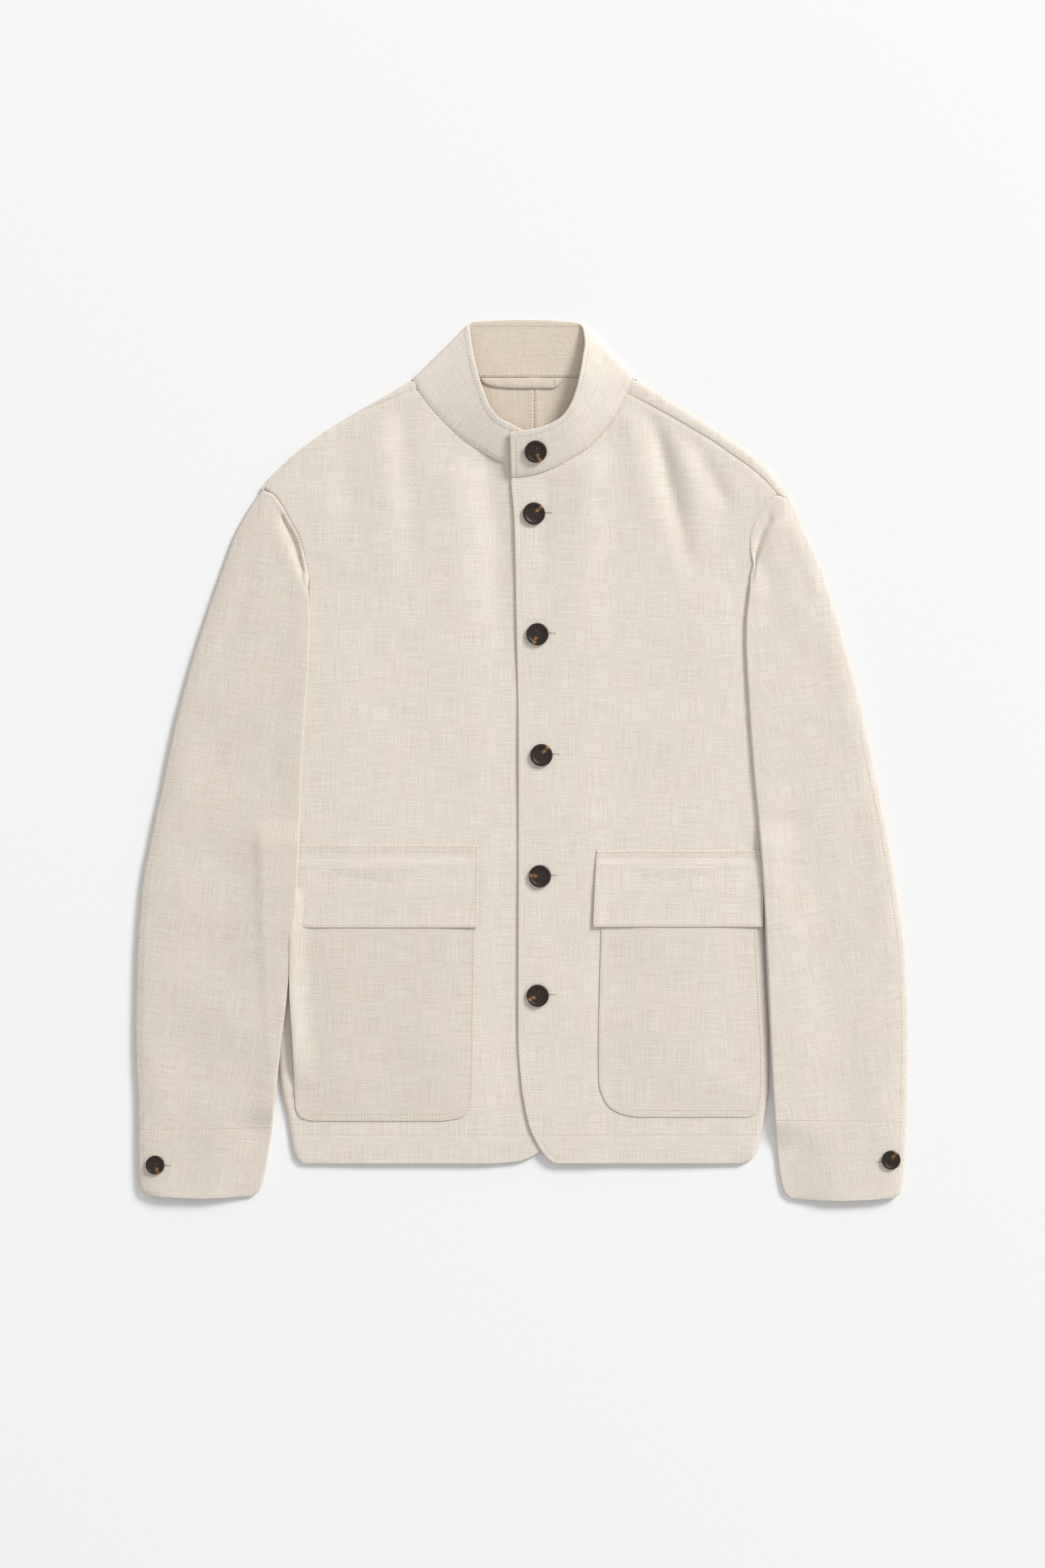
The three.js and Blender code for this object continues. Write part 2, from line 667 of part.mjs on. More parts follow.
// The stand collar, section by section from its under end round the back to its upper end:
// the neck seam at nx ny nz and the free edge at tx ty tz
const collarSections = table(['nx', 'ny', 'nz', 'tx', 'ty', 'tz'], [
  [33.0, 267.4, 5.2, 32.6, 291.3, 15.5],
  [14.2, 260.6, 5.2, 14.2, 294.0, 19.0],
  [-1.6, 262.2, 5.4, 0.4, 297.4, 22.0],
  [-11.9, 266.3, 5.8, -8.6, 302.1, 23.0],
  [-28.4, 274.4, 6.0, -19.4, 307.5, 24.0],
  [-48.9, 286.6, 6.0, -28.4, 318.3, 24.0],
  [-63.0, 298.0, 5.8, -34.4, 333.3, 22.5],
  [-78.2, 313.5, 5.6, -39.8, 351.3, 19.5],
  [-87.8, 326.2, 5.6, -43.4, 367.5, 15.5],
  [-93.8, 335.4, 5.4, -45.6, 381.9, 10.5],
  [-97.0, 342.4, 3.6, -46.7, 392.4, 4.6],
  [-91.4, 345.0, 1.6, -42.8, 395.2, 1.2],
  [-76.4, 345.7, 1.0, -36.2, 395.8, 1.0],
  [-38, 345.9, 1.0, -18, 396.5, 1.0],
  [0, 345.9, 1.0, 1.6, 396.9, 1.0],
  [38, 345.9, 1.0, 21, 396.5, 1.0],
  [77.8, 345.7, 1.0, 40.6, 395.4, 1.0],
  [94.6, 345.0, 1.6, 49.0, 394.6, 1.2],
  [101.2, 343.4, 3.6, 53.8, 391.6, 4.6],
  [98.2, 336.9, 5.4, 56.2, 383.1, 10.0],
  [94.8, 329.4, 5.6, 56.8, 374.7, 14.0],
  [90.4, 320.3, 5.8, 55.6, 366.3, 17.5],
  [83.2, 307.9, 6.2, 53.2, 351.3, 21.5],
  [71.9, 293.3, 6.6, 49.3, 333.9, 24.5],
  [58.3, 280.2, 7.2, 44.2, 320.1, 26.5],
  [41.6, 270.0, 7.8, 36.4, 309.0, 27.5],
  [24.9, 262.0, 8.2, 24.4, 301.8, 28.0],
  [7.6, 257.0, 8.4, 7.6, 297.1, 28.0],
  [-9.2, 255.2, 8.4, -10.5, 294.7, 27.5],
]);
const COLLAR_STEPS = 4;
const COLLAR_SEAT = 0.9; // clear of the neck seam, measured up the collar
const COLLAR_BOW = 1.2; // how far its standing part bows outward

function collarPoint(section, share) {
  const neck = new THREE.Vector3(section.nx, section.ny, section.nz);
  const free = new THREE.Vector3(section.tx, section.ty, section.tz);
  const height = neck.distanceTo(free);
  const t = mix(COLLAR_SEAT / height, 1, share);
  const standing = smooth((section.tz - 6) / 12);
  const point = neck.lerp(free, t);
  point.z += COLLAR_BOW * standing * Math.sin(Math.PI * t);
  return point;
}

function collar() {
  const rows = collarSections.map((section) =>
    Array.from({ length: COLLAR_STEPS + 1 }, (_, k) => collarPoint(section, k / COLLAR_STEPS)));
  return wall('collar', rows, COLLAR_WALL, LINEN_COLOUR);
}

// Hanger loop along the back neck seam, on the inside of the back
const loopRows = table(['x', 'low', 'high'], [
  [-36.4, 342.0, 344.6],
  [-31, 338.2, 344.6],
  [-22, 336.2, 344.6],
  [-6, 335.2, 344.6],
  [14, 334.9, 344.6],
  [28, 335.0, 344.6],
  [33, 337.4, 344.6],
  [36.4, 341.6, 344.6],
]);

function hangerLoop() {
  const z = WALL + SEAM + LOOP_WALL / 2;
  const rows = loopRows.map(({ x, low, high }) =>
    [0, 0.5, 1].map((t) => new THREE.Vector3(x, mix(low, high, t), z)));
  return wall('hanger_loop', rows, LOOP_WALL, LINEN_COLOUR);
}

// Four-hole button with a raised rim, turned from its profile and drilled
const wasm = await Module();
wasm.setup();

function toManifold(geometry) {
  geometry.deleteAttribute('normal');
  geometry.deleteAttribute('uv');
  const merged = mergeVertices(geometry, 1e-4);
  const index = merged.getIndex().array;
  const kept = [];
  for (let k = 0; k < index.length; k += 3) {
    const [a, b, c] = [index[k], index[k + 1], index[k + 2]];
    if (a !== b && b !== c && c !== a) kept.push(a, b, c);
  }
  const mesh = new wasm.Mesh({
    numProp: 3,
    vertProperties: Float32Array.from(merged.getAttribute('position').array),
    triVerts: Uint32Array.from(kept),
  });
  mesh.merge();
  return new wasm.Manifold(mesh);
}

function button(name, { radius, thickness, holeRadius, holeOffset }, seat) {
  const profile = [
    [0, 0],
    [0.84, 0],
    [0.97, 0.28],
    [1, 0.62],
    [0.94, 1],
    [0.8, 0.94],
    [0.66, 0.66],
    [0, 0.6],
  ].map(([r, z]) => new THREE.Vector2(r * radius, z * thickness));
  let body = toManifold(new THREE.LatheGeometry(profile, 16).rotateX(Math.PI / 2));
  for (const [sx, sy] of [[1, 1], [1, -1], [-1, 1], [-1, -1]]) {
    const hole = new THREE.CylinderGeometry(holeRadius, holeRadius, thickness * 3, 6).rotateX(Math.PI / 2);
    body = body.subtract(toManifold(hole.translate(sx * holeOffset, sy * holeOffset, 0)));
  }
  const cut = body.getMesh();
  const mesh = solid(name, Array.from(cut.vertProperties), Array.from(cut.triVerts), HORN_COLOUR, 0.35);
  mesh.position.copy(seat.place);
  mesh.quaternion.setFromUnitVectors(new THREE.Vector3(0, 0, 1), seat.normal);
  return mesh;
}

// Where a button sits: the surface point, moved out by half the wall and the seam gap
function seatOn(heightAt, x, y, clearance) {
  const step = 6;
  const dzdx = (heightAt(x + step, y) - heightAt(x - step, y)) / (2 * step);
  const dzdy = (heightAt(x, y + step) - heightAt(x, y - step)) / (2 * step);
  const normal = new THREE.Vector3(-dzdx, -dzdy, 1).normalize();
  const place = new THREE.Vector3(x, y, heightAt(x, y)).addScaledVector(normal, HALF + clearance);
  return { place, normal };
}

const buttons = table(['x', 'y'], [
  [11.2, 222.2],
  [14.5, 113.8],
  [18.0, 5.2],
  [16.6, -103.5],
  [14.7, -210.7],
]);

function frontButtons() {
  return buttons.map(({ x, y }, i) => {
    const seat = seatOn((px, py) => bodyTop(LEFT, px, py), x, y, SEAM);
    return button(`button_front_${i + 1}`, FRONT_BUTTON, seat);
  });
}

// The collar's button lies on its upper end
function collarButton() {
  const low = collarSections.at(-2);
  const next = collarSections.at(-3);
  const place = collarPoint(low, 0.5).lerp(collarPoint(next, 0.5), 0.28);
  const up = collarPoint(low, 0.7).sub(collarPoint(low, 0.3));
  const across = collarPoint(next, 0.5).sub(collarPoint(low, 0.5));
  const normal = across.cross(up).normalize();
  place.addScaledVector(normal, COLLAR_WALL / 2 + SEAM + 0.15);
  return button('button_collar', FRONT_BUTTON, { place, normal });
}

// A cuff's button lies near the sleeve's outer edge, level with its upper layer
function cuffButton(side, name, x, y) {
  const tilt = 0.1;
  const normal = new THREE.Vector3(side.sign * Math.sin(tilt), 0, Math.cos(tilt));
  const place = new THREE.Vector3(side.sign * x, y, SLEEVE_HEIGHT + HALF + SEAM + 0.3);
  return button(name, CUFF_BUTTON, { place, normal });
}

const overshirt = new THREE.Group();
overshirt.add(
  backPanel(LEFT, 'back_left'),
  backPanel(RIGHT, 'back_right'),
  frontPanel(LEFT, 'front_left'),
  frontPanel(RIGHT, 'front_right'),
  sleeve(LEFT, 'sleeve_left'),
  sleeve(RIGHT, 'sleeve_right'),
  collar(),
  hangerLoop(),
  ...Object.entries(POCKETS).map(([name, piece]) => pocketPiece(name, piece)),
  collarButton(),
  ...frontButtons(),
  cuffButton(LEFT, 'button_cuff_left', 331.9, -358.2),
  cuffButton(RIGHT, 'button_cuff_right', 328.7, -362.7),
);

export default overshirt;
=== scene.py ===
import math

import bpy
import numpy as np
from mathutils import Matrix, Vector
from mathutils.bvhtree import BVHTree


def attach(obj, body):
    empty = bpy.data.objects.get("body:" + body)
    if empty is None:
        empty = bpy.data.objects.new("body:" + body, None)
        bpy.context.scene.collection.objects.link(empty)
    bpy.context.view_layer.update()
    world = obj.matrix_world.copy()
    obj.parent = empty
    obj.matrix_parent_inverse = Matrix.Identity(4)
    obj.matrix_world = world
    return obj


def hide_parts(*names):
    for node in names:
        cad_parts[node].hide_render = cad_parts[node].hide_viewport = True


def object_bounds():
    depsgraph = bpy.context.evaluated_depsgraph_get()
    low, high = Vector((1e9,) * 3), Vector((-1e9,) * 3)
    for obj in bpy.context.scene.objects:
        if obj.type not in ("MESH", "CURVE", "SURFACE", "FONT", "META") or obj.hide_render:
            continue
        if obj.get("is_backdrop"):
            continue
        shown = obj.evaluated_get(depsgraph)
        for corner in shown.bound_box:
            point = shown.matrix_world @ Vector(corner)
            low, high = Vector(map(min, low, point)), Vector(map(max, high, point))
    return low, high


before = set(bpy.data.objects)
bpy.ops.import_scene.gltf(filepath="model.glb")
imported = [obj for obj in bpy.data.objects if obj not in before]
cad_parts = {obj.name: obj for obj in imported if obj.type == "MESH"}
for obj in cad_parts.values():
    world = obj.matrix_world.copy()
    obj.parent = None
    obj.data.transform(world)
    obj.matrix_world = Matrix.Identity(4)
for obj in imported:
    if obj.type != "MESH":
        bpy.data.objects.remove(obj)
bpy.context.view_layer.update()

MM = 0.001

# Layers of cloth and how the body lies
WALL = 1.0  # one layer of linen with its turnings
HALF = WALL / 2
COLLAR_WALL = 1.8
LOOP_WALL = 1.1
LEAST_HEIGHT = 0.06  # no cloth lies lower than this
FLOOR_LAYER = 0.62  # middle of the backs above the surface
LAYER = 0.95  # from the middle of one layer to the middle of the one sewn on it
LAP = 0.9  # the upper front is raised this much where it laps over, the under front lowered
ROLL = 5.0  # width in which a front rolls down over a side or shoulder
FLOOR_ROLL = 4.0  # and in which the back rises under it
TURN_START = 6.0  # the back leaves the surface this far before its fold at the shoulder
SIDE_RISE = 70.0  # a front rises from its side to its crown over this width
POCKET_LOFT = 1.1  # a pocket's middle stands this much above its edges
HEM_RISE = 15.0  # the backs' hem is drawn up this much behind the hem corners

# Sleeves
SLEEVE_HEIGHT = 7.0
SLEEVE_LOFT = 2.4  # height of a sleeve's inner fold above what it lies on
LEAST_LOFT = 1.2  # and the least that its two layers stand apart
SLEEVE_ROLL = 18.0  # width of the round along a sleeve's outer edge
FOLD_ROLL = 0.9  # and along its inner fold
SLEEVE_HANG = 10.0  # its grain leans outward by this many degrees
SLEEVE_HEM_BOW = 2.4  # the middle of its hem hangs this much lower
LEAN = 18.0  # a sleeve has come down from the body this far past the side
LEAN_RISE = 10.0  # over this width

# Seams, with how much the cloth stands up where stitches hold a band or a hem
BACK_SEAM_X = 11.8
SEAM_DIP = 0.5  # cloth sinks this much into a seam
TUCK = 2.6  # and the layer below runs this far under it
TUCK_DROP = 0.9
HEM_Y = -335.7  # body hem stitch
TOPSTITCH = 5.4  # topstitching lies this far in from an edge
EDGE_STITCH = 2.0  # and edge stitching this far
EDGE_FULLNESS = 0.28
HEM_FULLNESS = 0.22
SLEEVE_HEM_FULLNESS = 0.25
COLLAR_FULLNESS = 0.4
POCKET_EDGE_FULLNESS = 0.12

# Stitches, bar tacks and buttonholes
STITCH_PITCH = 2.9
THREAD_RADIUS = 0.27
TACK_PITCH = 0.5
TACK_LENGTH = 1.9
TACK_RADIUS = 0.3
CORD_OFFSET = 0.75  # a buttonhole's corded edges, from its middle
CORD_PITCH = 0.95
CORD_RADIUS = 0.24
BAR_PITCH = 0.6
CUT_HALF_WIDTH = 0.28
BUTTON_GAP = 0.25  # a button's back stands this far off the cloth
BUTTON_THREAD_RADIUS = 0.26
THREAD_PASSES = (-0.32, 0.0, 0.32)  # each way through its holes, side by side
ABOVE_ALL = 60.0  # higher than any of the cloth

# Grids of the pieces: from row to row, and their counts across
GRID_STEP = 3.0
SLEEVE_STEP = 3.3
FRONT_COLUMNS = 60
BACK_COLUMNS = 34
TURN_COLUMNS = 7
POCKET_COLUMNS = 44
SLEEVE_COLUMNS = 45
COLLAR_ROWS = 190
LOOP_COLUMNS = 60


def clamp(t):
    return np.clip(t, 0.0, 1.0)


def mix(a, b, t):
    return a + (b - a) * t


def smooth(t):
    c = clamp(t)
    return c * c * (3 - 2 * c)


def round_edge(t):
    return np.sqrt(1 - (1 - clamp(t)) ** 2)


def bell(distance, width):
    return np.exp(-((distance / width) ** 2))


def curve_through(xs, ys, x):
    """Smooth curve through measured points that adds no wave between them. ys may have columns."""
    xs, ys = np.asarray(xs, float), np.asarray(ys, float)
    x = np.clip(x, xs[0], xs[-1])
    h = np.diff(xs)
    h_of = h[:, None] if ys.ndim > 1 else h
    slope = np.diff(ys, axis=0) / h_of
    first, second = slope[:-1], slope[1:]
    w1, w2 = 2 * h_of[1:] + h_of[:-1], h_of[1:] + 2 * h_of[:-1]
    same_way = first * second > 0
    safe_first = np.where(same_way, first, 1.0)
    safe_second = np.where(same_way, second, 1.0)
    inner = np.where(same_way, (w1 + w2) / (w1 / safe_first + w2 / safe_second), 0.0)
    tangent = np.concatenate([slope[:1], inner, slope[-1:]])
    i = np.clip(np.searchsorted(xs, x, side="right") - 1, 0, len(xs) - 2)
    t = (x - xs[i]) / h[i]
    step = h[i]
    if ys.ndim > 1:
        t, step = t[..., None], step[..., None]
    t2, t3 = t * t, t * t * t
    start = (2 * t3 - 3 * t2 + 1) * ys[i] + (t3 - 2 * t2 + t) * step * tangent[i]
    end = (3 * t2 - 2 * t3) * ys[i + 1] + (t3 - t2) * step * tangent[i + 1]
    return start + end


def distance_to(line, x, y):
    """Plan distance from points to a line of points."""
    best = np.full(np.broadcast(x, y).shape, 1e9)
    for (ax, ay), (bx, by) in zip(line[:-1], line[1:]):
        dx, dy = bx - ax, by - ay
        t = clamp(((x - ax) * dx + (y - ay) * dy) / (dx * dx + dy * dy))
        best = np.minimum(best, np.hypot(x - ax - dx * t, y - ay - dy * t))
    return best


def distance_along(line):
    """Distance travelled along a line at each of its points."""
    steps = np.linalg.norm(np.diff(line, axis=0), axis=1)
    return np.concatenate([[0], np.cumsum(steps)])


def soft_waves(x, y, seed, length):
    """Gentle unevenness between about -1 and 1, with waves round the given length."""
    random = np.random.default_rng(seed)
    total = np.zeros(np.broadcast(x, y).shape)
    for _ in range(7):
        angle, phase = random.uniform(0, 2 * math.pi, 2)
        k = 2 * math.pi / (length * random.uniform(0.7, 1.6))
        total = total + np.sin(k * (x * math.cos(angle) + y * math.sin(angle)) + phase)
    return total / 3.6


# Heights of the fronts' middle layer along the garment, well in from the sides
CROWN = np.array([(-362, 4.2), (-345, 4.8), (-310, 5.4), (200, 5.6), (256, 5.6), (345, 5.0)])

# outer: side, armhole and shoulder seam of the front as y, x, height and whether it rolls down
# over the side. inner: front edge, then neck seam. back_outer: edge of the back on the surface.
# back_top: y, x of its fold at the shoulder and x of the seam it is turned to.
LEFT = {
    "sign": 1,
    "lap": LAP,
    "outer": np.array([
        (-362.2, 200, 3.2, 1), (-357, 208.5, 3.6, 1), (-349, 212.4, 3.8, 1), (-330, 217.3, 4.0, 1),
        (-289, 223.0, 4.0, 1), (-250, 222.6, 4.0, 1), (-190, 219.8, 3.8, 1), (-148, 218.5, 3.8, 1),
        (-100, 219.0, 3.8, 1), (-50, 222.0, 3.8, 1), (0, 224.6, 3.8, 1), (92, 225.4, 3.6, 1),
        (106, 224.8, 3.4, 1), (118, 221.2, 3.4, 0), (136, 217.6, 3.4, 0), (154, 214.0, 3.4, 0),
        (172, 209.8, 3.4, 0), (183, 207.0, 3.8, 0), (196, 205.6, 4.4, 0), (208, 207.0, 4.6, 0),
        (218, 211.2, 4.8, 0), (226.5, 217.0, 4.9, 0), (235, 223.9, 5.0, 0), (238.3, 230.2, 5.0, 0),
        (251.7, 218.8, 5.0, 0), (263.5, 205.3, 5.0, 0), (275.2, 188.5, 5.0, 0),
        (287, 171.7, 5.0, 0), (297.1, 154.8, 5.0, 0), (308.9, 134.6, 5.0, 0),
        (319, 116.1, 5.0, 0), (329.3, 96.6, 5.0, 0),
    ]),
    "corner": 23,
    "inner": np.array([
        (-362.2, 36.0), (-361, 29.8), (-357, 23.6), (-349, 17.2), (-341, 12.6), (-330, 7.6),
        (-316, 4.0), (-289, -0.3), (-250, -3.0), (0, -2.6), (145, -5.0), (215, -6.4),
        (254.6, -9.3), (256.4, 7.6), (261.4, 25.0), (269.4, 41.8), (279.6, 58.6), (292.8, 72.4),
        (307.5, 83.8), (320, 91.0), (329.3, 95.2),
    ]),
    "neck_start": 12,
    "back_outer": np.array([
        (-362.2, 197), (-357, 205.4), (-349, 210.4), (-330, 215.3), (-289, 221.0), (-250, 220.6),
        (-190, 217.8), (-148, 216.3), (-100, 216.8), (-50, 219.8), (0, 222.6), (92, 223.4),
        (106, 222.6), (118, 219.6), (136, 216.4), (154, 213.2), (172, 212.2), (190, 215.6),
        (202, 218.2), (213, 222.2), (223.5, 228.2), (231.5, 234.5),
    ]),
    "back_top": np.array([
        (236.6, 240.2, 239.6), (238.0, 239.7, 235.6), (239.6, 238.7, 231.0), (251.7, 229.8, 219.6),
        (263.5, 220.4, 206.2), (275.2, 207.2, 189.6), (287, 190.8, 172.8), (297.1, 176.3, 156.0),
        (308.9, 158.0, 135.8), (319, 141.8, 117.4), (329.3, 125.4, 97.6), (336.3, 114.2, 97.4),
        (341.0, 106.2, 100.0),
    ]),
    "back_neck": ((342.6, 104), (344, 97), (345.3, 88)),
    "shoulder": np.array([
        (101.8, 344.1), (137.8, 321.5), (171.4, 300.5), (205.3, 276.9), (222.2, 261.9),
        (232.3, 248.3), (240.7, 236.5),
    ]),
    # The armhole as the sleeve meets it, from the underarm to the shoulder: its front, its back
    "mouth": np.array([
        (206.2, 167.5, 5.2, 206.6, 166.6, 4.3), (208.6, 177.5, 4.9, 212.6, 171.6, 3.6),
        (206.8, 189, 5.0, 215.2, 180.4, 2.0), (206.5, 200, 4.7, 216.8, 190.6, 0.65),
        (210.2, 213.6, 4.8, 219.6, 202.6, 0.65), (216.0, 223.6, 4.9, 223.8, 213.2, 0.65),
        (222.9, 232.2, 5.0, 229.6, 223.2, 0.65), (231.4, 236.9, 5.0, 236.2, 231.0, 0.9),
        (239.9, 235.6, 3.4, 240.2, 234.6, 2.2),
    ]),
    # Sleeve sections, inner fold to outer edge: inner x y, outer x y, how straight, how risen
    "sleeve": np.array([
        (206.6, 163, 243.2, 231, 0.24, -0.25), (206.4, 158, 246.6, 224.5, 0.42, 0.4),
        (205.8, 153, 250.5, 215.5, 0.62, 0.9), (204.6, 145, 256, 202, 0.82, 1),
        (203.4, 138, 262.5, 188, 1, 1), (202.3, 124, 271, 167, 1, 1), (202, 104, 280.5, 138, 1, 1),
        (202.8, 82, 290, 106, 1, 1), (204.4, 54, 300.5, 67, 1, 1), (206.6, 20, 311, 20, 1, 1),
        (209.5, -15, 320, -22, 1, 1), (213.6, -60, 329, -68, 1, 1), (217.6, -112, 338, -120, 1, 1),
        (220.6, -170, 344.8, -178, 1, 1), (223.6, -240, 347, -245, 1, 1),
        (226.8, -305, 346.2, -310, 1, 1), (229.4, -345, 344.8, -350, 1, 1),
        (233.6, -378, 342.6, -378, 1, 1), (237.6, -389, 340.0, -388.6, 1, 1),
        (244.0, -393.4, 334.4, -392.4, 1, 1),
    ]),
    "sleeve_hem": -323.0,
}

RIGHT = {
    "sign": -1,
    "lap": -LAP,
    "outer": np.array([
        (-361.8, 199, 3.2, 1), (-357, 203.6, 3.6, 1), (-349.5, 206, 3.8, 1), (-324, 210.2, 4.0, 1),
        (-293, 216.8, 4.0, 1), (-251, 220.4, 4.0, 1), (-185, 224.0, 3.8, 1), (-95, 226.4, 3.8, 1),
        (0, 227.0, 3.8, 1), (67, 225.8, 3.6, 1), (98, 220.6, 3.4, 1), (108, 213.6, 3.4, 0),
        (121, 202.0, 3.4, 0), (142, 194.2, 3.4, 0), (160.7, 191.9, 3.4, 0), (174.3, 194.5, 3.8, 0),
        (189.3, 197.0, 4.4, 0), (202.9, 201.2, 4.6, 0), (213, 207.2, 4.7, 0), (224.7, 213.0, 4.8, 0),
        (235, 218.9, 4.9, 0), (241.5, 226.0, 5.0, 0), (245.2, 230.6, 5.0, 0), (259.2, 218.0, 5.0, 0),
        (275.1, 201.4, 5.0, 0), (288, 185.0, 5.0, 0), (300, 168.0, 5.0, 0), (313.8, 143.6, 5.0, 0),
        (322.5, 123.6, 5.0, 0), (333.0, 96.4, 5.0, 0),
    ]),
    "corner": 22,
    "inner": np.array([
        (-361.8, 25.0), (-360.3, 4.6), (-357, -6.0), (-349.5, -18.4), (-341, -25.0),
        (-330, -29.6), (-312, -32.8), (-290, -33.4), (256.6, -33.4), (258.2, -14.2),
        (261.4, -1.6), (266, 11.9), (274.2, 28.4), (286.3, 48.9), (297.7, 63.0), (313.2, 78.2),
        (326, 87.8), (333.0, 93.4),
    ]),
    "neck_start": 8,
    "back_outer": np.array([
        (-361.8, 197), (-357, 201.6), (-349.5, 204), (-324, 208.2), (-293, 214.8), (-251, 218.4),
        (-185, 222.0), (-95, 224.4), (0, 225.0), (67, 223.8), (98, 218.4), (108, 212.0),
        (121, 201.4), (142, 196.4), (158, 196.8), (174, 201.2), (189, 205.6), (203, 210.6),
        (215, 217.0), (228, 223.6), (238, 229.0),
    ]),
    "back_top": np.array([
        (244.2, 233.6, 233.2), (246.2, 232.6, 231.4), (259.2, 220.8, 218.8), (275.1, 204.2, 202.2),
        (288, 187.8, 185.8), (300, 170.6, 168.8), (313.8, 147.4, 144.6), (322.5, 132.4, 124.8),
        (333.0, 114.0, 95.6), (340.6, 101.4, 95.8),
    ]),
    "back_neck": ((342.4, 99), (344, 94), (345.3, 88)),
    "shoulder": np.array([
        (98.0, 343.4), (128.6, 325.7), (154.0, 310.6), (179.3, 295.5), (201.2, 278.7),
        (219.8, 260.9), (235.2, 244.6),
    ]),
    "mouth": np.array([
        (192.0, 157.6, 5.2, 192.4, 156.6, 4.3), (193.6, 166, 4.9, 198.4, 160.6, 3.6),
        (196.0, 179, 5.0, 202.6, 175.0, 1.6), (198.6, 191.6, 4.7, 206.8, 189.4, 0.65),
        (203.3, 204.6, 4.8, 211.8, 203.0, 0.65), (209.8, 215.4, 4.9, 218.0, 214.6, 0.65),
        (216.0, 227.2, 5.0, 224.6, 227.2, 0.65), (224.6, 238.2, 5.0, 230.4, 236.8, 0.9),
        (233.0, 241.8, 3.4, 233.6, 240.6, 2.2),
    ]),
    "sleeve": np.array([
        (193.0, 153.4, 236.6, 238.5, 0.24, -0.25), (192.6, 149, 240.4, 233.5, 0.42, 0.4),
        (192.0, 144, 244.6, 227, 0.62, 0.9), (191.5, 138, 250.5, 217, 0.82, 1),
        (191, 131, 258.5, 200, 1, 1), (190.7, 117, 267.5, 175, 1, 1), (191.1, 98, 278, 145, 1, 1),
        (192.2, 76, 289, 112, 1, 1), (194.2, 46, 300.5, 74, 1, 1), (196.8, 6, 314, 21, 1, 1),
        (198.5, -38, 323.5, -26, 1, 1), (200.2, -88, 333, -70, 1, 1), (203.2, -138, 341.8, -120, 1, 1),
        (209.6, -202, 346, -190, 1, 1), (216.8, -260, 347, -254, 1, 1),
        (222.4, -312, 344.8, -308, 1, 1), (227.0, -347, 344.6, -346, 1, 1),
        (232.0, -374, 344.0, -374, 1, 1), (236.0, -386, 341.6, -386, 1, 1),
        (242.8, -391.0, 335.6, -390.4, 1, 1),
    ]),
    "sleeve_hem": -330.0,
}

# Main creases of the fronts: side, line of x y on that side, half width, height
CREASES = (
    (1, ((118, 318), (124, 295), (130, 259), (139, 223), (158, 150)), 8, -4.4),
    (1, ((100, 304), (108, 250), (120, 190)), 12, 1.4),
    (1, ((160, 288), (176, 250), (186, 225), (190, 180)), 8, -2.8),
    (1, ((141, 296), (153, 250), (166, 180)), 9, 1.8),
    (1, ((60, 260), (44, 110)), 16, 1.5),
    (1, ((24, 246), (14, 140)), 9, -1.3),
    (1, ((186, 140), (192, 60), (190, -30)), 12, 0.6),
    (-1, ((133, 330), (122, 240), (120, 140)), 15, 1.0),
    (-1, ((110, 320), (100, 230), (98, 130)), 11, -1.4),
    (-1, ((160, 290), (156, 170)), 12, -1.2),
    (-1, ((184, 230), (178, 120)), 11, 0.5),
    (-1, ((30, 262), (22, 200), (24, 90)), 14, -2.6),
    (-1, ((60, 250), (56, 100)), 16, 1.2),
    (-1, ((214, -170), (212, -240), (206, -360)), 6, -2.6),
)
SLEEVE_CREASES = (
    (1, ((235, 214), (226, 190), (221, 165)), 8, 1.0),
    (-1, ((212.6, 219), (206.6, 203), (202.4, 190), (197.8, 172), (194.0, 152)), 3.6, -4.4),
    (-1, ((222, 206), (212, 182), (207, 160)), 8, 0.7),
    (1, ((238, 175), (250, 130), (262, 70)), 12, 0.9),
    (1, ((270, 20), (262, -60)), 14, -0.7),
    (-1, ((232, 185), (240, 120), (250, 60)), 13, 0.8),
    (-1, ((250, -20), (262, -110)), 15, -0.7),
)


def crease_height(side, x, y, creases=CREASES):
    total = np.zeros(np.broadcast(x, y).shape)
    for sign, line, width, height in creases:
        if sign == side["sign"]:
            start, end = line[0][1], line[-1][1]
            # A crease fades from a quarter of the way along to its end
            fading = 1 - smooth(1.25 * (start - y) / (start - end) - 0.35)
            total = total + height * fading * bell(distance_to(line, x, y), width)
    return total


# Where the wearer's left sleeve folds over beside its armhole, and the drop in front of the fold
SLEEVE_FOLD = np.array([(160, 206.6), (176, 209.4), (192.3, 213.4), (208, 219.4), (226, 227.0)])
FOLD_DROP = 4.4


def fold_drop(x, y):
    beyond = x - curve_through(SLEEVE_FOLD[:, 0], SLEEVE_FOLD[:, 1], y)
    before_fold = bell(beyond, 7.5) * (beyond < 0)
    past_fold = (1 - smooth(beyond / 2.4)) * (beyond >= 0)
    along = smooth((y - 158) / 14) * smooth((232 - y) / 16)
    return FOLD_DROP * along * (before_fold + past_fold)


def outer_x(side, y):
    return curve_through(side["outer"][:, 0], side["outer"][:, 1], y)


def inner_x(side, y):
    return curve_through(side["inner"][:, 0], side["inner"][:, 1], y)


def seam_line(side):
    """Plan line of the armhole and shoulder seam of a front."""
    rows = side["outer"][side["outer"][:, 3] == 0]
    return rows[:, [1, 0]]


